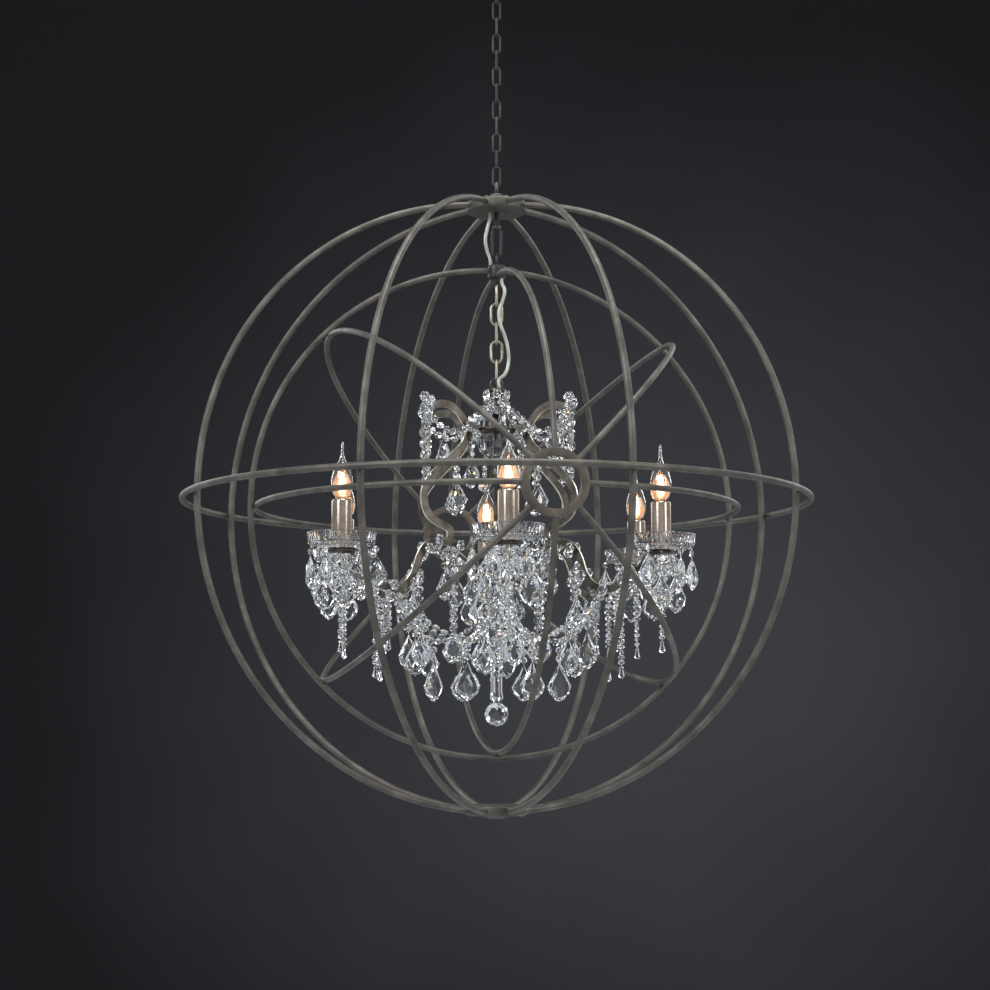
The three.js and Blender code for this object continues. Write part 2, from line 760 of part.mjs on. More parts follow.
function armHub() {
  const bore = stemRodDiameter / 2 + seatGap;
  const edge = armHubDiameter / 2;
  const bottom = armHubTop - armHubHeight;
  const hub = revolve([
    [bore, armHubTop],
    [edge - armHubTopBevel, armHubTop],
    [edge, armHubTop - armHubBevelHeight],
    [edge, bottom + armHubBevelHeight],
    [edge - armHubFootBevel, bottom],
    [bore, bottom],
  ]);
  const slots = [];
  for (let i = 0; i < lightCount; i += 1) {
    const slotDepth = edge - armRootRadius + seatGap + cutOverrun;
    const slot = new THREE.BoxGeometry(slotDepth, armThickness + 2 * seatGap, barWidth + 4 * seatGap);
    slot.translate(armRootRadius - seatGap + slotDepth / 2, 0, armHubTop - armHubHeight / 2);
    slots.push(toAzimuth(slot, firstLightAngle + (i * 360) / lightCount));
  }
  return cut(hub, ...slots);
}

function basketFrame() {
  const pieces = [];
  const bore = stemRodDiameter / 2 + seatGap;
  const plateEdge = crownPlateDiameter / 2;
  const plateBottom = crownPlateTop - crownPlateThickness;
  pieces.push(revolve([
    [bore, crownPlateTop],
    [plateEdge, crownPlateTop],
    [plateEdge, plateBottom],
    [bore, plateBottom],
  ]));
  const top = crownPlateTop - crownPlateThickness / 2;
  const belly = (basketDiameter - barWidth) / 2;
  const foot = basketFootDiameter / 2;
  const root = plateEdge - barThickness;
  const sideShares = [[0, 0], [0.17, 0.03], [0.31, 0.16], [0.55, 0.3], [0.82, 0.44], [0.97, 0.56]];
  sideShares.push([1, 0.67], [0.94, 0.79], [0.79, 0.865], [0.65, 0.895]);
  const side = between(sideShares, [root, top], [belly, basketFoot]);
  side.push([foot, basketFoot + barWidth], [foot, basketFoot]);
  const crestShares = [[0, 0], [0.2, 0.02], [0.34, 0.26], [0.47, 0.68], [0.63, 0.94], [0.79, 1]];
  crestShares.push([0.91, 0.95], [1, crestTipShare]);
  const crest = between(crestShares, [root, top], [crestReach, top + crestHeight]);
  for (const angle of uprightAngles) {
    const azimuth = firstLightAngle + angle;
    pieces.push(toAzimuth(flatBar(side, barThickness, barWidth), azimuth));
    pieces.push(toAzimuth(flatBar(crest, crestThickness, barWidth), azimuth));
  }
  return join(...pieces);
}

function arm() {
  const rootHeight = armHubTop - armHubHeight / 2;
  const low = armPeak - armDip;
  const lowRadius = armReach * armLowShare;
  const end = panTop - panThickness + panBite - barWidth / 2;
  const shoulder = basketFootDiameter / 2;
  const start = armRootRadius + armRootStraight;
  const riseShares = [[0.46, 0.48], [0.8, 0.9], [1, 1]];
  const fallShares = [[0.22, 0], [0.42, 0.08], [0.55, 0.32], [0.65, 0.68], [0.8, 0.92], [1, 1]];
  const climbShares = [[0.28, 0.12], [0.54, 0.5], [0.74, 0.92], [0.84, 1], [1, 1]];
  const rise = between(riseShares, [start, rootHeight], [shoulder, armPeak]);
  const fall = between(fallShares, [shoulder, armPeak], [lowRadius, low]);
  const climb = between(climbShares, [lowRadius, low], [armReach, end]);
  const along = [[armRootRadius, rootHeight], [start, rootHeight], ...rise, ...fall, ...climb];
  const pieces = [flatBar(along, armThickness, barWidth)];
  for (const [r, z] of [fall[0], fall[3], climb[0]]) {
    for (const side of [1, -1]) {
      const rosette = bead(rosetteDiameter).scale(1, rosetteDepth / rosetteDiameter, 1);
      pieces.push(rosette.translate(r, side * (armThickness / 2 + rosetteDepth / 2 - rosetteBite), z));
    }
  }
  const panBottom = panTop - panThickness;
  pieces.push(rod(panDiameter, panBottom, panTop, candleSides).translate(armReach, 0, 0));
  const holeDiameter = spigotDiameter + 2 * seatGap;
  const hole = rod(holeDiameter, panBottom - seatGap, panTop + holeOverrun, candleSides);
  return cut(join(...pieces), hole.translate(armReach, 0, 0));
}

function cup() {
  const rim = cupDiameter / 2;
  const base = cupBaseDiameter / 2;
  const hole = spigotDiameter / 2 + seatGap;
  const flareShares = [[0, 0], [0.56, 0.36], [1, 1]];
  const outside = between(flareShares, [base, cupBase], [rim, cupRimHeight]);
  const inside = [[rim - cupWall, cupRimHeight], [base - cupWall, cupBase + cupWall]];
  const dish = revolve([[hole, cupBase], ...outside, ...inside, [hole, cupBase + cupWall]], 2 * fluteCount);
  const position = dish.attributes.position;
  for (let i = 0; i < position.count; i += 1) {
    const x = position.getX(i);
    const y = position.getY(i);
    const reach = Math.hypot(x, y);
    const share = Math.max(0, (reach - base) / (rim - base));
    const wave = Math.cos(Math.atan2(y, x) * fluteCount);
    const scale = 1 + (wave * share * fluteDepth) / 2 / reach;
    position.setXY(i, x * scale, y * scale);
  }
  const pieces = [dish];
  for (let i = 0; i < cupLeafCount; i += 1) {
    const leafRadius = rim - beadDiameter / 2;
    const top = cupRimHeight - cupHeight * cupLeafDropShare;
    const small = bead(beadDiameter).translate(leafRadius, 0, top - beadDiameter / 2);
    const drop = leaf(leafWidth, leafLength, leafDepth).rotateZ(Math.PI / 2);
    drop.translate(leafRadius, 0, top - beadDiameter + skirtBeadBite);
    const turn = (i * 2 * Math.PI) / cupLeafCount;
    pieces.push(small.rotateZ(turn), drop.rotateZ(turn));
  }
  return join(...pieces);
}

function sleeve() {
  const outer = sleeveDiameter / 2;
  const spigot = spigotDiameter / 2;
  const socket = socketDiameter / 2;
  return revolve([
    [0, panTop - panThickness],
    [spigot, panTop - panThickness],
    [spigot, sleeveBottom],
    [outer, sleeveBottom],
    [outer, sleeveTop - sleeveLip],
    [outer - sleeveLip, sleeveTop],
    [socket, sleeveTop],
    [socket, sleeveTop - socketDepth],
    [0, sleeveTop - socketDepth],
  ], candleSides);
}

function bulb() {
  const base = bulbBaseDiameter / 2;
  const foot = sleeveTop - socketDepth + seatGap;
  const glassFoot = foot + bulbBaseLength;
  const glassShares = [[0.46, 0], [0.88, 0.1], [1, 0.24], [0.84, 0.46], [0.32, 0.68], [0.13, 0.84], [0, 1]];
  const glass = between(glassShares, [0, glassFoot], [bulbDiameter / 2, sleeveTop + bulbHeight]);
  return revolve([[0, foot], [base, foot], [base, glassFoot], ...glass], bulbSides);
}

function crystalSkirt() {
  const pieces = [];
  const pinTop = armPeak - armDip - barWidth / 2 - 2 * seatGap;
  const hang = pinTop - skirtBeadDiameter / 2;
  const start = [armReach * armLowShare, 0, hang];
  const end = [skirtRingDiameter / 2, 0, hang - skirtDrop];
  const sag = skirtBeadDiameter * skirtSagShare;
  const middle = [(start[0] + end[0]) / 2, 0, (start[2] + end[2]) / 2 - sag];
  const spanTurn = Math.PI / lightCount;
  const span = [0, 1, 2].map((step) => [
    end[0] * Math.cos(step * spanTurn),
    end[0] * Math.sin(step * spanTurn),
    end[2] - (step === 1 ? sag : 0),
  ]);
  for (let i = 0; i < lightCount; i += 1) {
    const azimuth = firstLightAngle + (i * 360) / lightCount;
    const drop = leaf(skirtLeafWidth, skirtLeafLength, leafDepth).rotateZ(Math.PI / 2);
    drop.translate(end[0], 0, end[2] - skirtBeadDiameter / 2 + skirtBeadBite);
    const parts = [
      strand([start, middle, end], skirtBeadDiameter, skirtBeadPitch),
      strand(span, skirtBeadDiameter, skirtBeadPitch),
      bead(skirtBeadDiameter).translate(...start),
      bead(skirtBeadDiameter).translate(...end),
      rod(skirtPinDiameter, hang, pinTop, screwSides).translate(start[0], 0, 0),
      drop,
    ];
    pieces.push(...parts.map((piece) => toAzimuth(piece, azimuth)));
  }
  return join(...pieces);
}

function candelabra() {
  add("stem", stem(), gunmetalLook);
  add("crown_bowl", crownBowl(), crystalLook);
  add("basket_frame", basketFrame(), gunmetalLook);
  add("arm_hub", armHub(), gunmetalLook);
  add("bottom_drop", bottomDrop(), crystalLook);
  add("crystal_skirt", crystalSkirt(), crystalLook);
  for (let i = 0; i < lightCount; i += 1) {
    const azimuth = firstLightAngle + (i * 360) / lightCount;
    const placed = (geometry) => toAzimuth(geometry.translate(armReach, 0, 0), azimuth);
    add(`arm_${i + 1}`, toAzimuth(arm(), azimuth), gunmetalLook);
    add(`cup_${i + 1}`, placed(cup()), crystalLook);
    add(`sleeve_${i + 1}`, placed(sleeve()), nickelLook);
    add(`bulb_${i + 1}`, placed(bulb()), bulbLook);
  }
}

add("ceiling_rose", ceilingRose(), ironLook);
add("ceiling_eye", ceilingEye(), darkIronLook);
const upperChain = chain(upperLinkCount, upperLinkLength, upperLinkWidth, upperLinkWire, upperChainTop);
add("upper_chain", upperChain, darkIronLook);
outerCage();
add("hanger_rod", hangerRod(), darkIronLook);
add("upper_flex", upperFlex(), flexLook);
innerSphere();
const lowerChain = chain(lowerLinkCount, lowerLinkLength, lowerLinkWidth, lowerLinkWire, lowerChainTop);
add("lower_chain", lowerChain, warmSilverLook);
add("lower_flex", lowerFlex(), flexLook);
candelabra();
chandelier.position.z = -ceilingHeight;

export default chandelier;
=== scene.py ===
from math import atan2, cos, hypot, pi, radians, sin
from random import Random

import bmesh
import bpy
from mathutils import Matrix, Vector
from mathutils.geometry import interpolate_bezier


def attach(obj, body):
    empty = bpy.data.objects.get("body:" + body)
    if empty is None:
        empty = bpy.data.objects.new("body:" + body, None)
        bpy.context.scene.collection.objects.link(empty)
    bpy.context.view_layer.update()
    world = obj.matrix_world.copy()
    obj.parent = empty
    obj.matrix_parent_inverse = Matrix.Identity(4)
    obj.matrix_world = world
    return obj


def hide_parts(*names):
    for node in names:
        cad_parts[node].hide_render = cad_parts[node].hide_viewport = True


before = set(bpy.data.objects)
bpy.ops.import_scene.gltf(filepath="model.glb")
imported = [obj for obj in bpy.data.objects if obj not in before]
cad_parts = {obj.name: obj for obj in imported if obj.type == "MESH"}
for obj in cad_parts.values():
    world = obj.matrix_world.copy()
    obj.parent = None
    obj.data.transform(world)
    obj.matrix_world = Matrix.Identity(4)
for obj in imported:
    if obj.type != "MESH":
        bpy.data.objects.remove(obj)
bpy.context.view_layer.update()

scene = bpy.context.scene
chance = Random(15)

# Sizes in metres. The orb's middle is measured from the ceiling, all other heights from that middle.
ORB_MIDDLE = -0.912634
CAGE_RADIUS = 0.488
CAGE_BAR = 0.010
GIRDLE_RADIUS = 0.49763
HUB_RADIUS = 0.049
HUB_HEIGHT = 0.485534
HUB_HALF = 0.008
RIB_START = 0.041
RIBS = 8
RIB_AZIMUTHS = [radians(22.5 + 45 * index) for index in range(RIBS)]
SPHERE_RADIUS = 0.384
SPHERE_BAR = 0.009
BAND_RADIUS = 0.3927
SPHERE_DROP = 0.012
SPHERE_TURN = radians(12.5)
DISC_RADIUS = 0.0495
DISC_BORE = 0.038
DISC_DISTANCE = 0.380796
DISC_RIB_START = 0.0435
SPHERE_HUB_TOP = 0.389197
SPHERE_HUB_FOOT = 0.367197
ROD_END = 0.449534
ROD_LOOP_BAR = 0.403647
STAPLE_BAR = 0.353197
STEM_TOP = 0.185372
STEM_FOOT = -0.186628
STEM_RING = 0.193247
CROWN_TOP = 0.121372
SCROLL_ROOT = 0.1189
BOWL_TOP = 0.108372
ARM_HUB_TOP = -0.0853
ARM_HUB_FOOT = -0.1113
ARM_REACH = 0.282
PAN_TOP = -0.0893
PAN_FOOT = PAN_TOP - 0.003
CUP_BASE = -0.089
CUP_RIM = -0.062
SLEEVE_TOP = -0.0117
SLEEVE_HOLE = 0.0083
LAMP_FOOT = SLEEVE_TOP - 0.0257
GLASS_FOOT = LAMP_FOOT + 0.027
LAMP_RADIUS = 0.0175
FLAT_BAR = 0.012
STEM_BORE = 0.0048
FLEX = 0.0055
PIN_THICKNESS = 0.0011
BEAD_GAP = 0.0012
LIGHTS = [radians(3.5) + index * pi / 3 for index in range(6)]
UPRIGHTS = [LIGHTS[place] for place in (1, 2, 4, 5)]
UPRIGHT = Matrix.Rotation(pi / 2, 4, "X")
SIDEWAYS = Matrix.Rotation(pi / 2, 4, "Z")


# The photographer's place, and the flexes
def stand_camera():
    camera_data = bpy.data.cameras.new("photographer")
    camera_data.sensor_width = 36
    camera_data.lens = 69.4
    camera_data.clip_end = 60
    camera = bpy.data.objects.new("photographer", camera_data)
    camera.location = (-0.0024, -3.041, -1.2573)
    camera.rotation_euler = (radians(96.72), 0, 0)
    scene.collection.objects.link(camera)
    scene.camera = camera


def hang_flex(name, body, route, thickness):
    """Flex through its route's points, in millimetres from the middle of the orb"""
    points = [Vector((x / 1000, y / 1000, z / 1000 + ORB_MIDDLE)) for x, y, z in route]
    curve = bpy.data.curves.new(name + "_cord", "CURVE")
    curve.dimensions = "3D"
    curve.bevel_depth = 1
    curve.bevel_resolution = 4
    curve.resolution_u = 8
    curve.use_fill_caps = True
    spline = curve.splines.new("BEZIER")
    spline.bezier_points.add(len(points) - 1)
    for knot, place in zip(spline.bezier_points, points):
        knot.co = place
        knot.radius = thickness / 2
        knot.handle_left_type = knot.handle_right_type = "AUTO"
    piece = bpy.data.objects.new(name + "_cord", curve)
    scene.collection.objects.link(piece)
    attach(piece, body)
    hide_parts(name)
    return piece


stand_camera()
upper_flex = hang_flex("upper_flex", "outer_cage", [
    (-11, 0, 477.23), (-11, 0, 469.23), (-15, 0, 451.53), (-18, 0, 433.53), (-15.5, 0, 415.53),
    (-10, 0, 398.5), (-9.5, 0, 389.5),
], FLEX)
lower_flex = hang_flex("lower_flex", "lower_chain", [
    (8, -8, 366.3), (8.5, -8.5, 359.2), (13, -11, 347), (10, -16, 328), (4, -18, 310), (6, -18, 290),
    (14, -13, 268), (19, -8, 246), (19, -6, 226), (13, -9, 208), (4, -11, 199), (4, -11, 185.97),
], FLEX)


# Finishes
class Finish:
    """A material, with short ways to add nodes and to link or fill their sockets"""

    def __init__(self, name):
        self.material = bpy.data.materials.new(name)
        self.material.use_nodes = True
        self.nodes = self.material.node_tree.nodes
        self.shader = self.nodes["Principled BSDF"]
        self.place = self.add("ShaderNodeTexCoord").outputs["Object"]

    def add(self, kind, **inputs):
        node = self.nodes.new(kind)
        for name, value in inputs.items():
            self.set(node.inputs[name.replace("_", " ")], value)
        return node

    def set(self, socket, value):
        if isinstance(value, bpy.types.NodeSocket):
            self.material.node_tree.links.new(value, socket)
        else:
            socket.default_value = value

    def shade(self, **inputs):
        for name, value in inputs.items():
            self.set(self.shader.inputs[name.replace("_", " ")], value)

    def grain(self, scale, detail=5, roughness=0.55, stretch=(1, 1, 1)):
        mapping = self.add("ShaderNodeMapping", Vector=self.place, Scale=stretch)
        noise = self.add("ShaderNodeTexNoise", Vector=mapping.outputs[0], Scale=scale,
                         Detail=detail, Roughness=roughness)
        return noise.outputs["Fac"]

    def ramp(self, factor, *stops):
        """Colours along a factor. The first two stops are its ends, the others lie between."""
        ramp = self.add("ShaderNodeValToRGB", Fac=factor)
        elements = ramp.color_ramp.elements
        for index, (place, colour) in enumerate(stops):
            element = elements[index] if index < 2 else elements.new(place)
            element.position = place
            element.color = (*colour, 1)
        return ramp.outputs["Color"]

    def span(self, factor, low, high):
        span = self.add("ShaderNodeMapRange", Value=factor)
        span.inputs["To Min"].default_value = low
        span.inputs["To Max"].default_value = high
        return span.outputs["Result"]

    def maths(self, operation, *values):
        node = self.add("ShaderNodeMath")
        node.operation = operation
        for socket, value in zip(node.inputs, values):
            self.set(socket, value)
        return node.outputs[0]

    def bump(self, height, strength, distance):
        bump = self.add("ShaderNodeBump", Height=height, Strength=strength, Distance=distance)
        self.shade(Normal=bump.outputs["Normal"])


def forged_iron(name, deep, middle, worn, metal, roughness):
    """Iron bar with a rubbed warm grey-brown finish, mottled and faintly hammered"""
    finish = Finish(name)
    mottle = finish.grain(28, 7, 0.6)
    colour = finish.ramp(mottle, (0.3, deep), (0.5, middle), (0.72, worn))
    finish.shade(Base_Color=colour, Metallic=metal)
    finish.shade(Roughness=finish.span(finish.grain(140, 4), roughness - 0.1, roughness + 0.12))
    finish.bump(finish.grain(420, 3, 0.6), 0.35, 0.0005)
    return finish.material


def polished_metal(name, dark, light, roughness, scale=60, drawn=0.0):
    """Bright metal. Where it is drawn, fine marks spread its reflections along its length."""
    finish = Finish(name)
    colour = finish.ramp(finish.grain(scale, 5), (0.35, dark), (0.7, light))
    finish.shade(Base_Color=colour, Metallic=1, Anisotropic=drawn, Anisotropic_Rotation=0.25)
    finish.shade(Roughness=finish.span(finish.grain(180, 3), roughness * 0.7, roughness * 1.5))
    finish.bump(finish.grain(700, 2), 0.08, 0.0003)
    return finish.material


def cut_crystal(name, painted_fire):
    """Clear lead crystal; a few facets are tinted blue, green, yellow or orange as painted fire, the
    flashes of split light
    """
    finish = Finish(name)
    cells = finish.add("ShaderNodeTexVoronoi", Vector=finish.place, Scale=150)
    picked = finish.add("ShaderNodeTexVoronoi", Vector=finish.place, Scale=170)
    # Painted fire: colours of light split by the facets, laid into the glass tint
    hue = finish.ramp(cells.outputs["Distance"], (0.1, (0.2, 0.55, 1.0)), (0.9, (1.0, 0.50, 0.15)),
                      (0.35, (0.40, 0.80, 1.0)), (0.65, (1.0, 0.8, 0.3)))
    channel = finish.add("ShaderNodeSeparateColor", Color=picked.outputs["Color"])
    # A few random cells get the painted fire tint
    chosen = finish.ramp(channel.outputs[0], (0.9, (0, 0, 0)), (0.93, (painted_fire, painted_fire, painted_fire)))
    mix = finish.add("ShaderNodeMix")
    mix.data_type = "RGBA"
    finish.set(mix.inputs["Factor"], chosen)
    finish.set(mix.inputs[6], (0.905, 0.915, 0.935, 1))
    finish.set(mix.inputs[7], hue)
    finish.shade(Base_Color=mix.outputs[2], Roughness=0.0, IOR=1.54, Transmission_Weight=1.0)
    return finish.material


def clear_glass(name, tint):
    finish = Finish(name)
    colour = finish.ramp(finish.grain(30, 2), (0.3, tint), (0.7, (1, 1, 1)))
    finish.shade(Base_Color=colour, Roughness=0.0, IOR=1.45, Transmission_Weight=1.0)
    return finish.material


def glowing_wire(name, colour, strength):
    finish = Finish(name)
    glow = finish.ramp(finish.grain(400, 2), (0.3, colour), (0.7, (1.0, 0.72, 0.4)))
    finish.shade(Base_Color=(0.9, 0.6, 0.3, 1), Emission_Color=glow, Emission_Strength=strength)
    return finish.material


def warm_haze(name, high, deep, pale, thick, strength):
    """Light that the hot filament spreads in its bulb, strong at the base and gone at the shoulder"""
    finish = Finish(name)
    height = finish.add("ShaderNodeSeparateXYZ", Vector=finish.place).outputs["Z"]
    span = finish.add("ShaderNodeMapRange", Value=height)
    span.inputs["From Min"].default_value = ORB_MIDDLE + GLASS_FOOT
    span.inputs["From Max"].default_value = high
    rise = span.outputs["Result"]
    share = finish.ramp(rise, (0.0, (thick,) * 3), (1.0, (0, 0, 0)), (0.55, (thick * 0.8,) * 3))
    warm = finish.ramp(rise, (0.0, deep), (0.8, pale))
    finish.shade(Base_Color=(0.6, 0.4, 0.25, 1), Alpha=share)
    finish.shade(Emission_Color=warm, Emission_Strength=strength)
    return finish.material


def flex_plastic(name):
    finish = Finish(name)
    mottle = finish.grain(90, 4, 0.6, (1, 1, 0.4))
    tone = finish.ramp(mottle, (0.3, (0.27, 0.27, 0.22)), (0.75, (0.60, 0.61, 0.54)))
    finish.shade(Base_Color=tone, Roughness=0.28, Coat_Weight=0.4, Coat_Roughness=0.15)
    finish.bump(finish.grain(260, 2), 0.2, 0.0004)
    return finish.material


iron = forged_iron("forged_iron", (0.052, 0.047, 0.040), (0.094, 0.087, 0.075),
                   (0.150, 0.139, 0.120), 0.55, 0.5)
dark_iron = forged_iron("dark_forged_iron", (0.020, 0.019, 0.017), (0.038, 0.036, 0.032),
                        (0.075, 0.070, 0.062), 0.6, 0.48)
disc_iron = forged_iron("disc_iron", (0.06, 0.05, 0.038), (0.105, 0.09, 0.07),
                        (0.17, 0.15, 0.12), 0.5, 0.52)
warm_silver = polished_metal("warm_silver", (0.26, 0.22, 0.17), (0.52, 0.47, 0.39), 0.3)
gunmetal = polished_metal("antique_gunmetal", (0.05, 0.045, 0.037), (0.13, 0.12, 0.10), 0.34)
# Pale metal for the narrow edges of the flat bars: a painted highlight along them
painted_edge_highlight = polished_metal("painted_highlight_edge", (0.66, 0.6, 0.48), (0.9, 0.86, 0.76), 0.26)
nickel = polished_metal("polished_nickel", (0.37, 0.30, 0.24), (0.51, 0.43, 0.36), 0.2, 25, 1.0)
pin_wire = polished_metal("pin_wire", (0.5, 0.48, 0.44), (0.8, 0.77, 0.7), 0.2)
crystal = cut_crystal("cut_crystal", 0.8)
bulb_glass = clear_glass("bulb_glass", (1.0, 0.965, 0.92))
filament = glowing_wire("glowing_filament", (1.0, 0.42, 0.12), 26)
haze = warm_haze("filament_haze", ORB_MIDDLE + 0.036, (0.74, 0.32, 0.14),
                 (0.68, 0.40, 0.25), 0.40, 0.85)
core = warm_haze("filament_core", ORB_MIDDLE + 0.030, (1.0, 0.72, 0.40),
                 (1.0, 0.86, 0.64), 0.7, 2.2)
flex_cream = flex_plastic("cream_flex")

for flex in (upper_flex, lower_flex):
    flex.data.materials.append(flex_cream)


# Ways of making: turning, bending bar, and setting copies of a cut stone
def shut(bm):
    """Join what meets, close what is open and turn all faces outward"""
    bmesh.ops.remove_doubles(bm, verts=bm.verts, dist=1e-6)
    bmesh.ops.holes_fill(bm, edges=bm.edges, sides=0)
    bmesh.ops.recalc_face_normals(bm, faces=bm.faces)
    return bm


def turned(profile, steps, loop=False):
    """Turn (radius, height) points about the Z axis"""
    bm = bmesh.new()
    points = [bm.verts.new((r, 0, z)) for r, z in profile]
    ends = points[1:] + points[:1] if loop else points[1:]
    edges = [bm.edges.new(pair) for pair in zip(points, ends)]
    bmesh.ops.spin(bm, geom=points + edges, cent=(0, 0, 0), axis=(0, 0, 1), angle=2 * pi,
                   steps=steps, use_merge=True)
    return shut(bm)


def bent_bar(radius, thickness, start=0.0, end=2 * pi, steps=96, sides=14):
    """Round bar bent about the Y axis, its angles measured from +Z towards +X"""
    bm = bmesh.new()
    first = Matrix.Translation((0, 0, radius)) @ Matrix.Rotation(pi / 2, 4, "Y")
    bmesh.ops.create_circle(bm, radius=thickness / 2, segments=sides,
                            matrix=Matrix.Rotation(start, 4, "Y") @ first)
    ring = end - start > 1.999 * pi
    bmesh.ops.spin(bm, geom=bm.verts[:] + bm.edges[:], cent=(0, 0, 0), axis=(0, 1, 0),
                   angle=end - start, steps=steps, use_merge=ring)
    return shut(bm)


def chain_link(length, width, wire):
    """Welded link in the XZ plane about the origin: a ring drawn out between its two bends"""
    bend = (width - wire) / 2
    straight = (length - wire) / 2 - bend
    bm = bent_bar(bend, wire, steps=22, sides=10)
    bmesh.ops.translate(bm, verts=[v for v in bm.verts if v.co.z > 0], vec=(0, 0, straight))
    bmesh.ops.translate(bm, verts=[v for v in bm.verts if v.co.z < 0], vec=(0, 0, -straight))
    return bm


def moved(bm, matrix):
    """The same mesh, in its new place"""
    bmesh.ops.transform(bm, matrix=matrix, verts=bm.verts)
    return bm


def kept(bm):
    """Keep a pattern so that copies of it can be set in pieces"""
    pattern = bpy.data.meshes.new("pattern")
    bm.to_mesh(pattern)
    bm.free()
    return pattern


def set_in(piece, pattern, matrix):
    """Put a copy of a kept pattern into a piece"""
    before = len(piece.verts)
    piece.from_mesh(pattern)
    bmesh.ops.transform(piece, matrix=matrix, verts=piece.verts[before:])


def gathered(*parts):
    """All parts in one mesh"""
    whole = bmesh.new()
    for part in parts:
        pattern = kept(part)
        whole.from_mesh(pattern)
        bpy.data.meshes.remove(pattern)
    return whole


def finished(name, bm, body, materials, nodes=(), crease=35):
    """Make the piece from its mesh, smooth between creases, and let it ride on its body"""
    mesh = bpy.data.meshes.new(name)
    bm.to_mesh(mesh)
    bm.free()
    piece = bpy.data.objects.new(name, mesh)
    scene.collection.objects.link(piece)
    for material in materials:
        mesh.materials.append(material)
    if crease:
        mesh.shade_smooth()
        mesh.set_sharp_from_angle(angle=radians(crease))
    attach(piece, body)
    if nodes:
        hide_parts(*nodes)
    return piece


def azimuth_turn(azimuth):
    """Turn what is drawn along +X to an azimuth measured from the front towards +X"""
    return Matrix.Rotation(azimuth - pi / 2, 4, "Z")


def up(height):
    """Lift from the origin to a height above the middle of the orb"""
    return Matrix.Translation((0, 0, height + ORB_MIDDLE))


def at(azimuth, reach, height):
    """Place at an azimuth, a distance from the axis and a height above the middle of the orb"""
    return Vector((reach * sin(azimuth), -reach * cos(azimuth), height + ORB_MIDDLE))


def rounded(profile, radius):
    """Round the corners of a turning's profile with three points each"""
    out = [profile[0]]
    for before, corner, after in zip(profile, profile[1:], profile[2:]):
        a = Vector(before) - Vector(corner)
        b = Vector(after) - Vector(corner)
        reach = min(radius, a.length * 0.45, b.length * 0.45)
        first = Vector(corner) + a.normalized() * reach
        last = Vector(corner) + b.normalized() * reach
        middle = (first + last) * 0.25 + Vector(corner) * 0.5
        out += [tuple(first), tuple(middle), tuple(last)]
    return out + [profile[-1]]


def rounded_loop(profile, radius):
    """Round all corners of a closed profile"""
    return rounded([*profile, *profile[:2]], radius)[1:-1]


# Ceiling rose, eye and chains
def ceiling_rose():
    cover = turned(rounded([
        (0, 0), (0.045, 0), (0.045, -0.005), (0.0406, -0.0083), (0.032, -0.0142), (0.0233, -0.0176),
        (0.014, -0.022), (0.0055, -0.022), (0.0053, -0.0085), (0, -0.0083),
    ], 0.0015), 72)
    finished("ceiling_rose_cover", cover, "ceiling_mounting", [iron], ["ceiling_rose"])


def ceiling_eye():
    shank = rounded([(0, -0.0085), (0.0048, -0.0085), (0.0048, -0.0275), (0, -0.0275)], 0.0006)
    ring = moved(bent_bar(0.013, 0.006, steps=48, sides=16), Matrix.Translation((0, 0, -0.041)))
    finished("ceiling_hook_eye", gathered(turned(shank, 32), ring), "ceiling_swivel",
             [dark_iron], ["ceiling_eye"])


def hang_chain(body, material, count, length, width, wire, top_bar):
    """Welded links, each second one turned sideways, down from the bar that carries the first"""
    links = bmesh.new()
    swell, half = wire * 0.62, 0.0012
    weld = turned(rounded([(0, half), (swell, half), (swell, -half), (0, -half)], 0.0006), 12)
    weld = moved(weld, Matrix.Translation(((width - wire) / 2, 0, 0)))
    pattern = kept(gathered(chain_link(length, width, wire), weld))
    pitch = length - 2 * wire + 0.0002
    for index in range(count):
        lay = up(top_bar - (length - wire) / 2 - index * pitch)
        if index % 2 == 0:
            lay = lay @ SIDEWAYS
        set_in(links, pattern, lay)
    finished(body + "_links", links, body, [material], [body], 60)


# Outer cage
def hub_screw():
    """Cheese-head screw with a round socket"""
    return turned(rounded([
        (0, -0.002), (0.0029, -0.002), (0.0029, 0.0024), (0.0016, 0.0024), (0.0014, 0.0006),
        (0, 0.0006),
    ], 0.0004), 12)


def cage_hubs():
    for top in (True, False):
        side = 1 if top else -1
        plate = rounded([
            (0, HUB_HALF), (HUB_RADIUS - 0.002, HUB_HALF), (HUB_RADIUS, 0.006), (HUB_RADIUS, -0.006),
            (HUB_RADIUS - 0.002, -HUB_HALF), (0, -HUB_HALF),
        ], 0.0012)
        parts = [turned(plate, 96)]
        for azimuth in RIB_AZIMUTHS:
            lay = azimuth_turn(azimuth) @ Matrix.Translation((HUB_RADIUS - 0.007, 0, side * HUB_HALF))
            if not top:
                lay = lay @ Matrix.Rotation(pi, 4, "X")
            parts.append(moved(hub_screw(), lay))
        if top:
            collar = rounded([
                (0, 0.006), (0.0145, 0.006), (0.0145, 0.010), (0.011, 0.0125), (0.011, 0.021),
                (0.0085, 0.023), (0, 0.023),
            ], 0.001)
            parts.append(turned(collar, 48))
            ring = bent_bar(0.009, 0.005, steps=48, sides=14)
            parts.append(moved(ring, Matrix.Translation((0, 0, 0.032)) @ SIDEWAYS))
        else:
            boss = rounded([
                (0, -HUB_HALF), (0.015, -HUB_HALF), (0.0145, -0.0105), (0.012, -0.013), (0, -0.013),
            ], 0.001)
            parts.append(turned(boss, 48))
        whole = moved(gathered(*parts), up(side * HUB_HEIGHT))
        end = "top" if top else "bottom"
        finished(f"cage_{end}_plate", whole, "outer_cage", [iron], [f"cage_{end}_hub"])


def bar_collar(radius, bar, angle):
    """Thin ring that marks a weld on a bent bar"""
    swell, reach = 0.0008, 0.0016 / radius
    return bent_bar(radius, bar + swell, angle - reach, angle + reach, 2, 14)


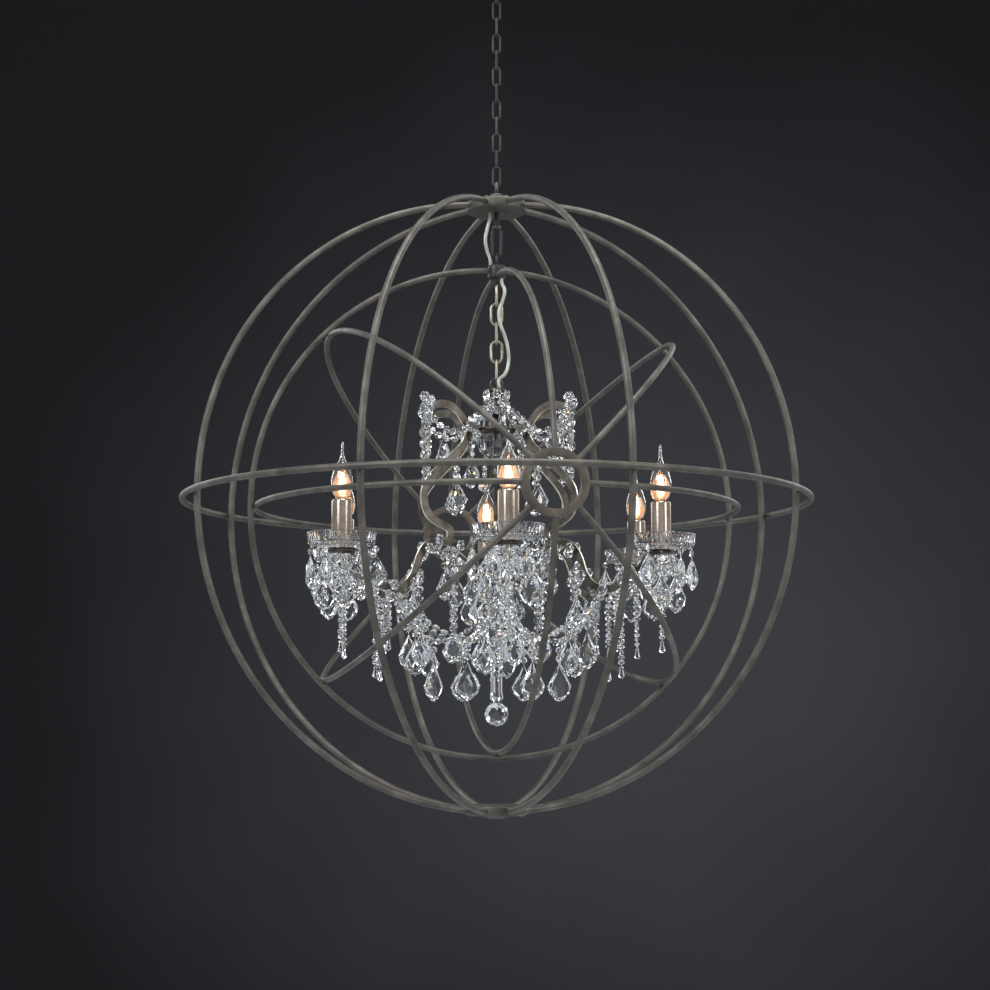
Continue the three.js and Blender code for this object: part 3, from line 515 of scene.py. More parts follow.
def outer_cage():
    start = RIB_START / CAGE_RADIUS
    for index, azimuth in enumerate(RIB_AZIMUTHS):
        turn = up(0) @ azimuth_turn(azimuth)
        rib = bent_bar(CAGE_RADIUS, CAGE_BAR, start, pi - start, 80)
        weld = bar_collar(CAGE_RADIUS, CAGE_BAR, 1.05 + 0.33 * (index % 4))
        finished(f"cage_bar_{index + 1}", moved(gathered(rib, weld), turn), "outer_cage",
                 [iron], [f"cage_rib_{index + 1}"], 50)
    girdle = moved(bent_bar(GIRDLE_RADIUS, CAGE_BAR, steps=160), up(0) @ UPRIGHT)
    finished("cage_girdle_bar", girdle, "outer_cage", [iron], ["cage_girdle"])
    cage_hubs()


def hanger_rod():
    rod = turned(rounded([
        (0, 0.4852), (0.004, 0.4852), (0.004, ROD_END + 0.008), (0.007, ROD_END + 0.006),
        (0.007, ROD_END), (0, ROD_END),
    ], 0.001), 32)
    top, wire = ROD_END + 0.0011, 0.0045
    loop = chain_link(top - ROD_LOOP_BAR + wire, 0.019, wire)
    loop = moved(loop, Matrix.Translation((0, 0, (top + ROD_LOOP_BAR) / 2)))
    finished("rod_and_loop", moved(gathered(rod, loop), up(0)), "outer_cage",
             [dark_iron], ["hanger_rod"], 50)


# Inner sphere: drawn about Z, then laid over so that Z points at its front disc
LAY_OVER = up(-SPHERE_DROP) @ Matrix.Rotation(SPHERE_TURN, 4, "Z") @ UPRIGHT


def inner_sphere():
    start = DISC_RIB_START / SPHERE_RADIUS
    for index in range(RIBS):
        turn = LAY_OVER @ azimuth_turn(radians(45 * index))
        rib = bent_bar(SPHERE_RADIUS, SPHERE_BAR, start, pi - start, 72)
        weld = bar_collar(SPHERE_RADIUS, SPHERE_BAR, 0.9 + 0.41 * (index % 4))
        finished(f"sphere_bar_{index + 1}", moved(gathered(rib, weld), turn), "inner_sphere",
                 [iron], [f"sphere_rib_{index + 1}"], 50)
    band = moved(bent_bar(BAND_RADIUS, SPHERE_BAR, steps=140), LAY_OVER @ UPRIGHT)
    finished("sphere_band_bar", band, "inner_sphere", [iron], ["sphere_band"])
    half = 0.0065
    ring = [(DISC_BORE, -half), (DISC_RADIUS, -half), (DISC_RADIUS, half), (DISC_BORE, half)]
    for place, side in (("front", 1), ("back", -1)):
        disc = turned(rounded_loop(ring, 0.0016), 96, loop=True)
        disc = moved(disc, LAY_OVER @ Matrix.Translation((0, 0, side * DISC_DISTANCE)))
        finished(f"{place}_ring_disc", disc, "inner_sphere", [disc_iron], [f"{place}_disc"])


def sphere_hub():
    barrel = turned(rounded([
        (0, SPHERE_HUB_TOP), (0.0125, SPHERE_HUB_TOP), (0.014, SPHERE_HUB_TOP - 0.0015),
        (0.014, SPHERE_HUB_FOOT + 0.0015), (0.0125, SPHERE_HUB_FOOT), (0, SPHERE_HUB_FOOT),
    ], 0.0008), 48)
    ring = bent_bar(0.010, 0.004, steps=48)
    ring = moved(ring, Matrix.Translation((0, 0, SPHERE_HUB_TOP + 0.009)) @ SIDEWAYS)
    lay = Matrix.Rotation(SPHERE_TURN, 4, "Z") @ Matrix.Translation((0, 0, STAPLE_BAR + 0.016))
    staple = moved(chain_link(0.036, 0.020, 0.004), lay)
    finished("sphere_hub_barrel", moved(gathered(barrel, ring, staple), up(0)), "inner_sphere",
             [dark_iron], ["sphere_hub"])


# Candelabra metalwork
def through(points, steps):
    """Points on a smooth line through the given ones"""
    line = [Vector(p) for p in points]
    line = [line[0] * 2 - line[1], *line, line[-1] * 2 - line[-2]]
    out = []
    for a, b, c, d in zip(line, line[1:], line[2:], line[3:]):
        out += interpolate_bezier(b, b + (c - a) / 6, c - (d - b) / 6, c, steps + 1)[:-1]
    return out + [line[-2]]


def flat_bar(points, width, steps=5):
    """Flat bar set on edge along (reach, height) points: a ribbon in the XZ plane, not yet thick"""
    path = through([(r, 0, z) for r, z in points], steps)
    rims = []
    for before, place, after in zip([path[0], *path], path, [*path[1:], path[-1]]):
        along = (after - before).normalized()
        across = Vector((-along.z, 0, along.x)) * width / 2
        rims.append((place - across, place + across))
    bm = bmesh.new()
    low, high = [bm.verts.new(rim) for rim in rims[0]]
    edge = bm.edges.new((low, high))
    for before, rim in zip(rims, rims[1:]):
        grown = bmesh.ops.extrude_edge_only(bm, edges=[edge])["geom"]
        edge = next(part for part in grown if isinstance(part, bmesh.types.BMEdge))
        low, high = sorted(edge.verts, key=lambda end: (end.co - before[0]).length)
        low.co, high.co = rim
    return bm


def ribboned(piece, thickness):
    """Give ribbon its wall, whose narrow edges take a pale metal as a painted highlight"""
    wall = piece.modifiers.new("wall", "SOLIDIFY")
    wall.thickness = thickness
    wall.offset = 0
    wall.material_offset_rim = 1
    edges = piece.modifiers.new("soft_edges", "BEVEL")
    edges.width = 0.0006
    edges.segments = 2
    edges.limit_method = "ANGLE"
    edges.angle_limit = radians(50)


def stem():
    thin = 0.0045
    profile = [
        (0, STEM_TOP), (0.015, STEM_TOP), (0.015, STEM_TOP - 0.004), (0.007, STEM_TOP - 0.009),
        (thin, STEM_TOP - 0.016), (thin, 0.150), (0.009, 0.146), (0.009, 0.142), (thin, 0.138),
        (thin, 0.062), (0.008, 0.056), (0.010, 0.046), (0.008, 0.036), (thin, 0.030),
        (thin, -0.070), (0.009, -0.074), (0.010, -0.080), (0.0062, -0.0845),
        (thin, -0.112), (0.0095, -0.116), (0.0125, -0.124), (0.0095, -0.132), (thin, -0.137),
        (thin, -0.156), (0.009, -0.162), (0.006, -0.168),
        (0.010, STEM_FOOT + 0.008), (0.006, STEM_FOOT), (0, STEM_FOOT),
    ]
    shaft = turned(rounded(profile, 0.0015), 40)
    ring = moved(bent_bar(0.009, 0.0045, steps=40), Matrix.Translation((0, 0, STEM_RING)))
    finished("turned_stem", moved(gathered(shaft, ring), up(0)), "candelabra",
             [gunmetal], ["stem"], 40)


SIDE_BAR = [
    (0.0305, SCROLL_ROOT), (0.048, 0.114), (0.063, 0.090), (0.0885, 0.0655), (0.117, 0.0405),
    (0.133, 0.019), (0.136, -0.0005), (0.130, -0.022), (0.114, -0.035), (0.099, -0.041),
    (0.088, -0.0474), (0.088, -0.0594),
]
CREST_BAR = [
    (0.0305, SCROLL_ROOT), (0.048, 0.119), (0.061, 0.128), (0.0725, 0.142), (0.087, 0.151),
    (0.101, 0.153), (0.112, 0.151), (0.120, 0.147),
]


def basket_frame():
    plate = turned(rounded_loop([
        (STEM_BORE, CROWN_TOP), (0.030, CROWN_TOP), (0.034, CROWN_TOP - 0.002),
        (0.034, CROWN_TOP - 0.005), (STEM_BORE, CROWN_TOP - 0.005),
    ], 0.0008), 64, loop=True)
    finished("crown_plate", moved(plate, up(0)), "candelabra", [gunmetal])
    for name, line, thickness in (
        ("basket_bars", SIDE_BAR, 0.004), ("crest_scrolls", CREST_BAR, 0.0034),
    ):
        bars = bmesh.new()
        bar = kept(flat_bar(line, FLAT_BAR))
        for azimuth in UPRIGHTS:
            set_in(bars, bar, up(0) @ azimuth_turn(azimuth))
        piece = finished(name, bars, "candelabra", [gunmetal, painted_edge_highlight],
                         ["basket_frame"], 0)
        ribboned(piece, thickness)


ARM_BAR = [
    (0.020, -0.0983), (0.032, -0.0983), (0.058, -0.083), (0.077, -0.0695), (0.088, -0.0663),
    (0.110, -0.0663), (0.130, -0.0725), (0.1435, -0.091), (0.1536, -0.1187), (0.1688, -0.137),
    (0.189, -0.1433), (0.215, -0.138), (0.239, -0.1207), (0.2578, -0.1019), (0.267, -0.098),
    (ARM_REACH, -0.0973),
]


def arms():
    middle = (ARM_HUB_TOP + ARM_HUB_FOOT) / 2
    hub = turned(rounded_loop([
        (STEM_BORE, ARM_HUB_TOP), (0.027, ARM_HUB_TOP), (0.030, ARM_HUB_TOP - 0.004),
        (0.030, middle + 0.003), (0.0285, middle), (0.030, middle - 0.003),
        (0.030, ARM_HUB_FOOT + 0.004), (0.024, ARM_HUB_FOOT), (STEM_BORE, ARM_HUB_FOOT),
    ], 0.0012), 48, loop=True)
    finished("arm_hub_turning", moved(hub, up(0)), "candelabra", [gunmetal], ["arm_hub"])
    for number, azimuth in enumerate(LIGHTS, 1):
        turn = up(0) @ azimuth_turn(azimuth)
        bar = moved(flat_bar(ARM_BAR, FLAT_BAR), turn)
        piece = finished(f"arm_scroll_{number}", bar, "candelabra",
                         [gunmetal, painted_edge_highlight], [f"arm_{number}"], 0)
        ribboned(piece, 0.004)
        pan = turned(rounded_loop([
            (SLEEVE_HOLE, PAN_TOP), (0.021, PAN_TOP), (0.022, PAN_TOP - 0.0012), (0.019, PAN_FOOT),
            (SLEEVE_HOLE, PAN_FOOT),
        ], 0.0006), 40, loop=True)
        pan = moved(pan, turn @ Matrix.Translation((ARM_REACH, 0, 0)))
        finished(f"drip_pan_{number}", pan, "candelabra", [gunmetal])


# Sleeves, lamps and cups
def candles():
    for number, azimuth in enumerate(LIGHTS, 1):
        middle = up(0) @ azimuth_turn(azimuth) @ Matrix.Translation((ARM_REACH, 0, 0))
        sleeve = turned(rounded([
            (0, PAN_FOOT), (0.008, PAN_FOOT), (0.008, -0.0857), (0.016, -0.0857),
            (0.016, SLEEVE_TOP - 0.002), (0.0142, SLEEVE_TOP), (0.0082, SLEEVE_TOP),
            (0.0075, SLEEVE_TOP - 0.001), (0.0075, SLEEVE_TOP - 0.026), (0, SLEEVE_TOP - 0.026),
        ], 0.0008), 56)
        finished(f"candle_sleeve_{number}", moved(sleeve, middle), "candelabra", [nickel],
                 [f"sleeve_{number}"])
        lamp(number, middle)


def glow_body(foot, tall, wide, shares, steps):
    """Body of light in a bulb, turned from shares of its width and height"""
    flank = [(wide * out, foot + tall * rise) for out, rise in shares]
    return turned([(0, foot), *flank, (0, foot + tall)], steps)


def lamp(number, middle):
    """Clear bulb with a drawn-out tip: glass, cap, filament loops on a stay, and their light"""
    body = f"bulb_{number}"
    tall, wall = 0.0877, 0.0006
    shares = [(0.46, 0), (0.74, 0.05), (0.93, 0.14), (1, 0.25), (0.95, 0.37), (0.78, 0.5), (0.5, 0.61),
              (0.27, 0.69), (0.16, 0.76), (0.125, 0.85), (0.11, 0.95), (0.06, 0.99), (0, 1)]
    outer = [(LAMP_RADIUS * out, GLASS_FOOT + tall * rise) for out, rise in shares]
    inner = [(max(r - wall, 0), z - (wall * 3 if r < 0.003 else 0)) for r, z in outer[::-1]]
    shell = turned(outer, 40)
    hollow = turned(inner, 40)
    bmesh.ops.reverse_faces(hollow, faces=hollow.faces)
    cap = turned(rounded([
        (0, LAMP_FOOT), (0.0045, LAMP_FOOT), (0.0069, LAMP_FOOT + 0.005), (0.0069, GLASS_FOOT + 0.0008),
        (0.0078, GLASS_FOOT + 0.0008), (0.0078, GLASS_FOOT + 0.0016), (0, GLASS_FOOT + 0.0016),
    ], 0.0005), 32)
    finished(f"lamp_glass_{number}", moved(gathered(shell, hollow), middle), body,
             [bulb_glass], [f"bulb_{number}"])
    finished(f"lamp_cap_{number}", moved(cap, middle), body, [warm_silver])
    wires = bmesh.new()
    base = GLASS_FOOT + 0.004
    stay = turned([(0, base), (0.0006, base), (0.0006, base + 0.022), (0, base + 0.022)], 6)
    loop = kept(chain_link(0.030, 0.0075, 0.0009))
    for turn in (0.5, 2.1):
        set_in(wires, loop, Matrix.Rotation(turn, 4, "Z") @ Matrix.Translation((0, 0, base + 0.021)))
    finished(f"lamp_filament_{number}", moved(wires, middle), body, [filament])
    halo = glow_body(GLASS_FOOT + 0.002, 0.044, 0.0155, [
        (0.5, 0.01), (0.8, 0.12), (0.95, 0.3), (0.9, 0.5), (0.72, 0.7), (0.42, 0.88),
    ], 32)
    finished(f"lamp_glow_{number}", moved(halo, middle), body, [haze])
    heart = glow_body(GLASS_FOOT + 0.004, 0.034, 0.0072, [
        (0.45, 0.03), (0.8, 0.15), (1, 0.35), (0.95, 0.55), (0.7, 0.78), (0.35, 0.94),
    ], 24)
    finished(f"lamp_core_{number}", moved(heart, middle), body, [core])
    finished(f"lamp_stay_{number}", moved(stay, middle), body, [warm_silver])


def column_of(vertex, half_turn):
    """Number of the column that a vertex of a turning is in, with so many columns to half a turn"""
    return round(atan2(vertex.co.y, vertex.co.x) / pi * half_turn)


def drawn_in(vertex, share):
    """Leave a vertex a share of its distance from the Z axis"""
    vertex.co.x *= share
    vertex.co.y *= share


def cut_cup():
    """Dish with steep sides, notched all round"""
    rim, wall = 0.053, 0.0032
    notches, deep, dip = 44, 0.0013, 0.0009
    rows = [(SLEEVE_HOLE, CUP_BASE), (0.023, CUP_BASE), (0.040, CUP_BASE + 0.0012),
            (0.0475, CUP_BASE + 0.0045), (0.0512, CUP_BASE + 0.0105), (0.0505, CUP_BASE + 0.0118),
            (rim, CUP_RIM - 0.001), (rim - 0.0012, CUP_RIM), (rim - wall, CUP_RIM - 0.001),
            (0.0475, CUP_BASE + 0.012), (0.044, CUP_BASE + 0.0065), (0.036, CUP_BASE + 0.0034),
            (SLEEVE_HOLE, CUP_BASE + 0.003)]
    bm = turned(rows, notches * 2, loop=True)
    for vertex in bm.verts:
        reach = hypot(vertex.co.x, vertex.co.y)
        if column_of(vertex, notches) % 2 and reach > 0.0485 and vertex.co.z > CUP_BASE + 0.004:
            drawn_in(vertex, 1 - deep / reach)
            if vertex.co.z > CUP_RIM - 0.002:
                vertex.co.z -= dip
    return bm


# Cuts of crystal, each one unit high or wide
def octagon_stone():
    stone = turned([(0, 0.28), (0.3, 0.28), (0.5, 0.08), (0.5, -0.08), (0.3, -0.28), (0, -0.28)], 8)
    return moved(stone, UPRIGHT @ Matrix.Rotation(pi / 8, 4, "Z"))


def rosette_stone():
    face = [(0, 0.2), (0.16, 0.3), (0.34, 0.24), (0.5, 0.04)]
    stone = turned([*face, *[(r, -z) for r, z in face[::-1]]], 12)
    for vertex in stone.verts:
        if column_of(vertex, 6) % 2 and hypot(vertex.co.x, vertex.co.y) > 0.3:
            vertex.co *= 0.84
    return moved(stone, UPRIGHT)


def pendeloque_stone():
    """Kite-shaped drop: a thin girdle, and a ring of facets and a small table on both sides"""
    girdle = [(0, 0), (0.27, -0.3), (0.5, -0.6), (0.41, -0.79), (0.19, -0.94), (0, -1)]
    table = [(0, -0.3), (0.2, -0.58), (0.13, -0.8)]
    border = [((a + c) * 0.4, (b + d) * 0.4 - 0.12) for (a, b), (c, d) in zip(girdle, girdle[1:])]
    bm = bmesh.new()
    for corners, depth in ((girdle, 0.1), (border, 0.36), (table, 0.5)):
        for x, y in corners:
            for mirrored in {x, -x}:
                bm.verts.new((mirrored, y, depth))
                bm.verts.new((mirrored, y, -depth))
    bmesh.ops.convex_hull(bm, input=bm.verts)
    return moved(shut(bm), UPRIGHT)


def spear_stone():
    return turned([(0, 0), (0.055, -0.03), (0.075, -0.1), (0.06, -0.28), (0.095, -0.55),
                   (0.125, -0.78), (0.08, -0.93), (0, -1)], 6)


def prism_stone():
    stone = turned([(0, 0), (0.10, -0.01), (0.2, -0.13), (0.165, -0.3), (0.165, -0.7),
                    (0.2, -0.87), (0.1, -0.99), (0, -1)], 16)
    for vertex in stone.verts:
        if column_of(vertex, 8) % 2:
            drawn_in(vertex, 0.86)
    return stone


def ball_stone():
    bm = bmesh.new()
    bmesh.ops.create_icosphere(bm, subdivisions=2, radius=0.5)
    return bm


def wire_pin():
    return turned([(0, 0.5), (0.5, 0.5), (0.5, -0.5), (0, -0.5)], 5)


BEAD = kept(octagon_stone())
ROSETTE = kept(rosette_stone())
PENDELOQUE = kept(pendeloque_stone())
SPEAR = kept(spear_stone())
PRISM = kept(prism_stone())
BALL = kept(ball_stone())
PIN = kept(wire_pin())


class Dressing:
    """Crystals and the wire pins that carry them, gathered into one piece"""

    def __init__(self, name):
        self.name = name
        self.stones = bmesh.new()
        self.pins = bmesh.new()

    def stone(self, cut, place, size, turn=0.0, depth=None):
        """A stone of one size, or of a width and a height, facing an azimuth"""
        across, tall = size if isinstance(size, tuple) else (size, size)
        shape = Matrix.Diagonal((across, across if depth is None else depth, tall, 1))
        lay = Matrix.Translation(place) @ Matrix.Rotation(turn, 4, "Z")
        set_in(self.stones, cut, lay @ shape)

    def pin(self, start, end):
        along = end - start
        lay = Matrix.Translation((start + end) / 2) @ along.to_track_quat("Z", "Y").to_matrix().to_4x4()
        set_in(self.pins, PIN, lay @ Matrix.Diagonal((PIN_THICKNESS, PIN_THICKNESS, along.length, 1)))

    def strand(self, points, bead):
        """Beads on pins along a line of points"""
        lengths = [(b - a).length for a, b in zip(points, points[1:])]
        whole = sum(lengths)
        count = max(1, round(whole / (bead + BEAD_GAP)))
        pitch = whole / count
        places = []
        for index in range(count + 1):
            walk = index * pitch
            for a, b, length in zip(points, points[1:], lengths):
                if walk <= length + 1e-9:
                    places.append(a.lerp(b, min(1, walk / length)))
                    break
                walk -= length
        for a, b in zip(places, places[1:]):
            self.pin(a, b)
            along = (b - a).to_track_quat("Z", "Y").to_matrix().to_4x4()
            roll = along @ Matrix.Rotation(chance.uniform(0, pi), 4, "Z")
            shape = Matrix.Diagonal((bead, bead, bead, 1))
            set_in(self.stones, BEAD, Matrix.Translation((a + b) / 2) @ roll @ shape)

    def dropper(self, top, beads, cut, size, turn, depth=None):
        """Beads in a column with a stone below them; gives the lowest point"""
        place = top.copy()
        for bead in beads:
            lower = place - Vector((0, 0, bead + BEAD_GAP))
            self.pin(place, lower)
            spin = chance.uniform(-0.6, 0.6)
            self.stone(BEAD, (place + lower) / 2, bead, turn + spin)
            place = lower
        self.pin(place, place - Vector((0, 0, 0.004)))
        self.stone(cut, place - Vector((0, 0, 0.002)), size, turn, depth=depth)
        return place

    def drop(self, top, beads, width, tall, depth=0.013, facing=0.0, spread=0.45):
        """Kite-shaped drop below a few beads, turned a little out of its way as it happens to hang"""
        self.dropper(top, beads, PENDELOQUE, (width, tall), facing + chance.gauss(0, spread), depth)

    def icicle(self, top, bead, count):
        """Beads that grow smaller down to a small drop"""
        place = top.copy()
        for index in range(count):
            across = bead * (1 - 0.28 * index / count)
            lower = place - Vector((0, 0, across * 0.72))
            self.stone(BEAD, (place + lower) / 2, (across, across * 0.7), chance.uniform(0, pi))
            self.pin(place, lower)
            place = lower
        self.dropper(place, [], SPEAR, (bead * 2.8, bead * 1.3), chance.uniform(0, pi))

    def hung(self, node):
        """Finish the piece, which rides on the candelabra in place of one node"""
        for face in self.pins.faces:
            face.material_index = 1
        whole = gathered(self.stones, self.pins)
        finished(self.name, whole, "candelabra", [crystal, pin_wire], [node], 0)


def sag_line(start, end, sag):
    """Points from one place to another, hanging through between them"""
    steps = 14
    line = []
    for index in range(steps + 1):
        share = index / steps
        line.append(start.lerp(end, share) - Vector((0, 0, sag * 4 * share * (1 - share))))
    return line


def cups():
    """Cups with six drops round the rim, rosettes under the dish, two inner drops and an icicle"""
    pattern = kept(cut_cup())
    for number, azimuth in enumerate(LIGHTS, 1):
        dress = Dressing(f"cut_glass_cup_{number}")
        middle = azimuth_turn(azimuth) @ Matrix.Translation((ARM_REACH, 0, 0))
        set_in(dress.stones, pattern, up(0) @ middle)
        centre = at(azimuth, ARM_REACH, 0)
        for step in range(6):
            turn = azimuth + pi / 6 + step * pi / 3
            out = Vector((sin(turn), -cos(turn), 0))
            if step in (0, 5):
                top = centre + out * 0.047 + Vector((0, 0, CUP_BASE + 0.0035))
                dress.drop(top, [0.011], 0.032, 0.048, facing=azimuth, spread=0.25)
            else:
                top = centre + out * 0.0525 + Vector((0, 0, CUP_BASE + 0.008))
                dress.drop(top, [0.011], 0.036, 0.050 + 0.006 * (step % 2))
            for lift in (-0.013, -0.029):
                place = centre + out * 0.0185 + Vector((0, 0, PAN_TOP + lift))
                dress.stone(ROSETTE, place, 0.018, turn, depth=0.016)
        for side in (-1, 1):
            out = Vector((sin(azimuth + side * 1.2), -cos(azimuth + side * 1.2), 0))
            top = centre + out * 0.032 + Vector((0, 0, PAN_TOP - 0.006))
            dress.drop(top, [0.012, 0.012], 0.037, 0.058)
        dress.icicle(centre + Vector((0, 0, PAN_TOP - 0.034)), 0.0145, 11)
        dress.hung(f"cup_{number}")


def beside(azimuth, reach, side, height):
    """A place off the plane of the bar at an azimuth, to one side of it"""
    return at(azimuth, reach, height) + Vector((cos(azimuth), sin(azimuth), 0)) * side


def arm_dressing():
    """Rosettes on both faces of the bars, strings under them and the swags to the foot of the stem"""
    dress = Dressing("arm_crystals")
    on_bar = ((0.070, -0.075), (0.110, -0.0663), (0.133, -0.076), (0.1536, -0.1187),
              (0.189, -0.1433), (0.228, -0.129), (0.2578, -0.1019))
    link_reach, link_height = 0.100, -0.222
    for azimuth in LIGHTS:
        for reach, height in on_bar:
            for side in (-1, 1):
                shift = chance.uniform(-0.006, 0.006)
                place = beside(azimuth, reach + shift, side * 0.0085, height + shift)
                facing = azimuth + pi / 2 + side * chance.uniform(0.1, 0.5)
                dress.stone(ROSETTE, place, 0.0185, facing, depth=0.017)
        for side, reach, height, count in ((-1, 0.2175, -0.143, 13), (1, 0.203, -0.146, 8)):
            dress.icicle(beside(azimuth, reach, side * 0.007, height), 0.0145, count)
        dress.drop(beside(azimuth, 0.160, 0.009, -0.125), [0.010, 0.010], 0.030, 0.052)
        dress.drop(beside(azimuth, 0.145, -0.010, -0.098), [0.013] * 4, 0.028, 0.044)
        low = at(azimuth, 0.185, -0.1500)
        for side in (-1, 1):
            swag = sag_line(low, at(azimuth + side * pi / 6, link_reach, link_height), 0.014)
            dress.strand(swag, 0.013)
            dress.drop(swag[5 if side > 0 else 7] - Vector((0, 0, 0.006)), [0.010], 0.034, 0.058)
        dress.drop(at(azimuth, 0.079, -0.0785), [0.0125, *[0.0112] * 9], 0.034, 0.050)
        dress.drop(at(azimuth, 0.094, -0.075), [0.014, 0.012], 0.030, 0.048)
        mid = azimuth + pi / 6
        link = at(mid, link_reach, link_height)
        dress.strand(sag_line(link, at(mid, 0.022, -0.184), 0.010), 0.0125)
        dress.drop(link - Vector((0, 0, 0.006)), [0.012, 0.0115], 0.040, 0.060)
        dress.drop(at(mid, 0.030, -0.098), [0.014, 0.012, 0.012], 0.034, 0.054)
    dress.hung("crystal_skirt")


def crown_dressing():
    """Strings at the scrolls' tips, rosettes at their roots, and strands from both to stem and bowl"""
    dress = Dressing("crown_crystals")
    root, pair = SCROLL_ROOT, 0.0105
    for azimuth in UPRIGHTS:
        tip = at(azimuth, 0.1306, 0.160)
        for side, shift in ((-0.004, 0.0), (0.004, -0.009)):
            top = tip + Vector((cos(azimuth) * side, sin(azimuth) * side, shift))
            dress.dropper(top, [0.0175] * 4 + [0.011] * 3, BEAD, 0.011, azimuth)
        for height, side in ((0.1625, -0.006), (0.155, 0.008), (0.143, -0.008)):
            place = beside(azimuth, 0.131, side, height)
            dress.stone(ROSETTE, place, 0.019, chance.uniform(-0.5, 0.5), depth=0.018)
        under = through([(0.128, 0, 0.146), (0.119, 0, 0.1268), (0.103, 0, 0.1155),
                         (0.0827, -0.005, 0.1099), (0.058, -pair, 0.1150)], 4)
        dress.strand([beside(azimuth, point.x, point.y, point.z) for point in under], 0.013)
        dress.drop(at(azimuth, 0.100, 0.110), [0.009], 0.024, 0.036, 0.010)
        for side in (-1, 1):
            for reach, height in ((0.058, root), (0.045, root - 0.012)):
                place = beside(azimuth, reach, side * pair, height)
                dress.stone(ROSETTE, place, 0.019, azimuth + pi / 2 + side * 0.3, depth=0.018)
            rise = through([(0.014, 0, 0.165), (0.034, side * pair, 0.141),
                            (0.056, side * pair, 0.126)], 4)
            dress.strand([beside(azimuth, point.x, point.y, point.z) for point in rise], 0.0115)
            rim = beside(azimuth, 0.033, side * 0.008, BOWL_TOP - 0.002)
            dress.strand([beside(azimuth, 0.056, side * pair, root - 0.006), rim], 0.010)
        dress.drop(at(azimuth, 0.075, 0.071), [0.012] * 3, 0.035, 0.046)
        dress.drop(at(azimuth, 0.047, 0.107), [0.011] * 3, 0.027, 0.042)
        dress.dropper(at(azimuth, 0.022, 0.075), [0.010] * 4, BALL, 0.020, azimuth)
    for turn in LIGHTS:
        dress.stone(ROSETTE, at(turn, 0.019, 0.1755), 0.017, turn, depth=0.015)
        dress.stone(ROSETTE, at(turn + pi / 6, 0.016, 0.162), 0.016, turn, depth=0.014)
        dress.stone(ROSETTE, at(turn, 0.013, 0.150), 0.014, turn, depth=0.013)
        dress.stone(SPEAR, at(turn + 0.35, 0.017, 0.149), (0.055, 0.036), turn)
    dress.hung("crown_bowl")


def crown_bowl():
    base, top, tall, wall, flutes = 0.013, BOWL_TOP, 0.036, 0.0035, 18
    floor = top - tall + wall
    shares = [(0, 0), (0.25, 0.05), (0.5, 0.2), (0.72, 0.42), (0.88, 0.68), (1, 1)]
    outside = [(base + 0.022 * out, top - tall + tall * rise) for out, rise in shares]
    inside = [(r - wall, max(z, floor)) for r, z in outside[::-1]]
    profile = [(STEM_BORE, top - tall), *outside, *inside, (STEM_BORE, floor)]
    bm = turned(profile, flutes * 2, loop=True)
    for vertex in bm.verts:
        outward = vertex.co.z > top - 0.034 and hypot(vertex.co.x, vertex.co.y) > 0.014
        if outward and column_of(vertex, flutes) % 2:
            drawn_in(vertex, 0.955)
    finished("fluted_crown_bowl", moved(bm, up(0)), "candelabra", [crystal],
             ["crown_bowl"], 0)


def bottom_drop():
    dress = Dressing("bottom_drop_crystals")
    dress.stone(BALL, at(0, 0, -0.2035), (0.042, 0.032), 0.3)
    dress.stone(BALL, at(0, 0, -0.2405), (0.042, 0.041), 0.1)
    for step in range(6):
        turn = step * pi / 3
        dress.stone(ROSETTE, at(turn, 0.017, -0.222), 0.013, turn, depth=0.011)
    dress.stone(PRISM, at(0, 0, -0.2605), (0.056, 0.057), 0.2)
    dress.stone(BALL, at(0, 0, -0.3355), 0.0392, 0.5)
    dress.hung("bottom_drop")


ceiling_rose()
ceiling_eye()
hang_chain("upper_chain", dark_iron, count=12, length=0.0344, width=0.015,
           wire=0.0032, top_bar=0.863534)
outer_cage()
hanger_rod()
inner_sphere()
sphere_hub()
hang_chain("lower_chain", warm_silver, count=5, length=0.039, width=0.022,
           wire=0.004, top_bar=0.357497)
stem()
basket_frame()
arms()
candles()
cups()
crown_bowl()
arm_dressing()
crown_dressing()
bottom_drop()


# Studio: pale round cove; behind the orb a dark sheet of painted shade, with a painted pool of light
# and painted darker edges; soft lights
STUDIO_PALE = (0.78, 0.80, 0.83)
SHADE_SHEET_BEHIND = 4.2


def pale_surface(name, colour, glow):
    """Surface that is seen partly by its own glow, so that it stays pale and still keeps shadows"""
    finish = Finish(name)
    lighter = tuple(part * 1.03 for part in colour)
    tone = finish.ramp(finish.grain(0.8, 3), (0.3, colour), (0.7, lighter))
    finish.shade(Base_Color=tone, Roughness=0.95)
    path = finish.add("ShaderNodeLightPath")
    seen = path.outputs["Is Camera Ray"]
    for ray in ("Is Glossy Ray", "Is Transmission Ray"):
        seen = finish.maths("MAXIMUM", seen, path.outputs[ray])
    light = finish.add("ShaderNodeEmission", Color=(*colour, 1), Strength=1.0)
    mix = finish.add("ShaderNodeMixShader")
    finish.set(mix.inputs[0], finish.maths("MULTIPLY", seen, glow))
    finish.set(mix.inputs[1], finish.shader.outputs[0])
    finish.set(mix.inputs[2], light.outputs[0])
    finish.set(finish.nodes["Material Output"].inputs["Surface"], mix.outputs[0])
    return finish.material


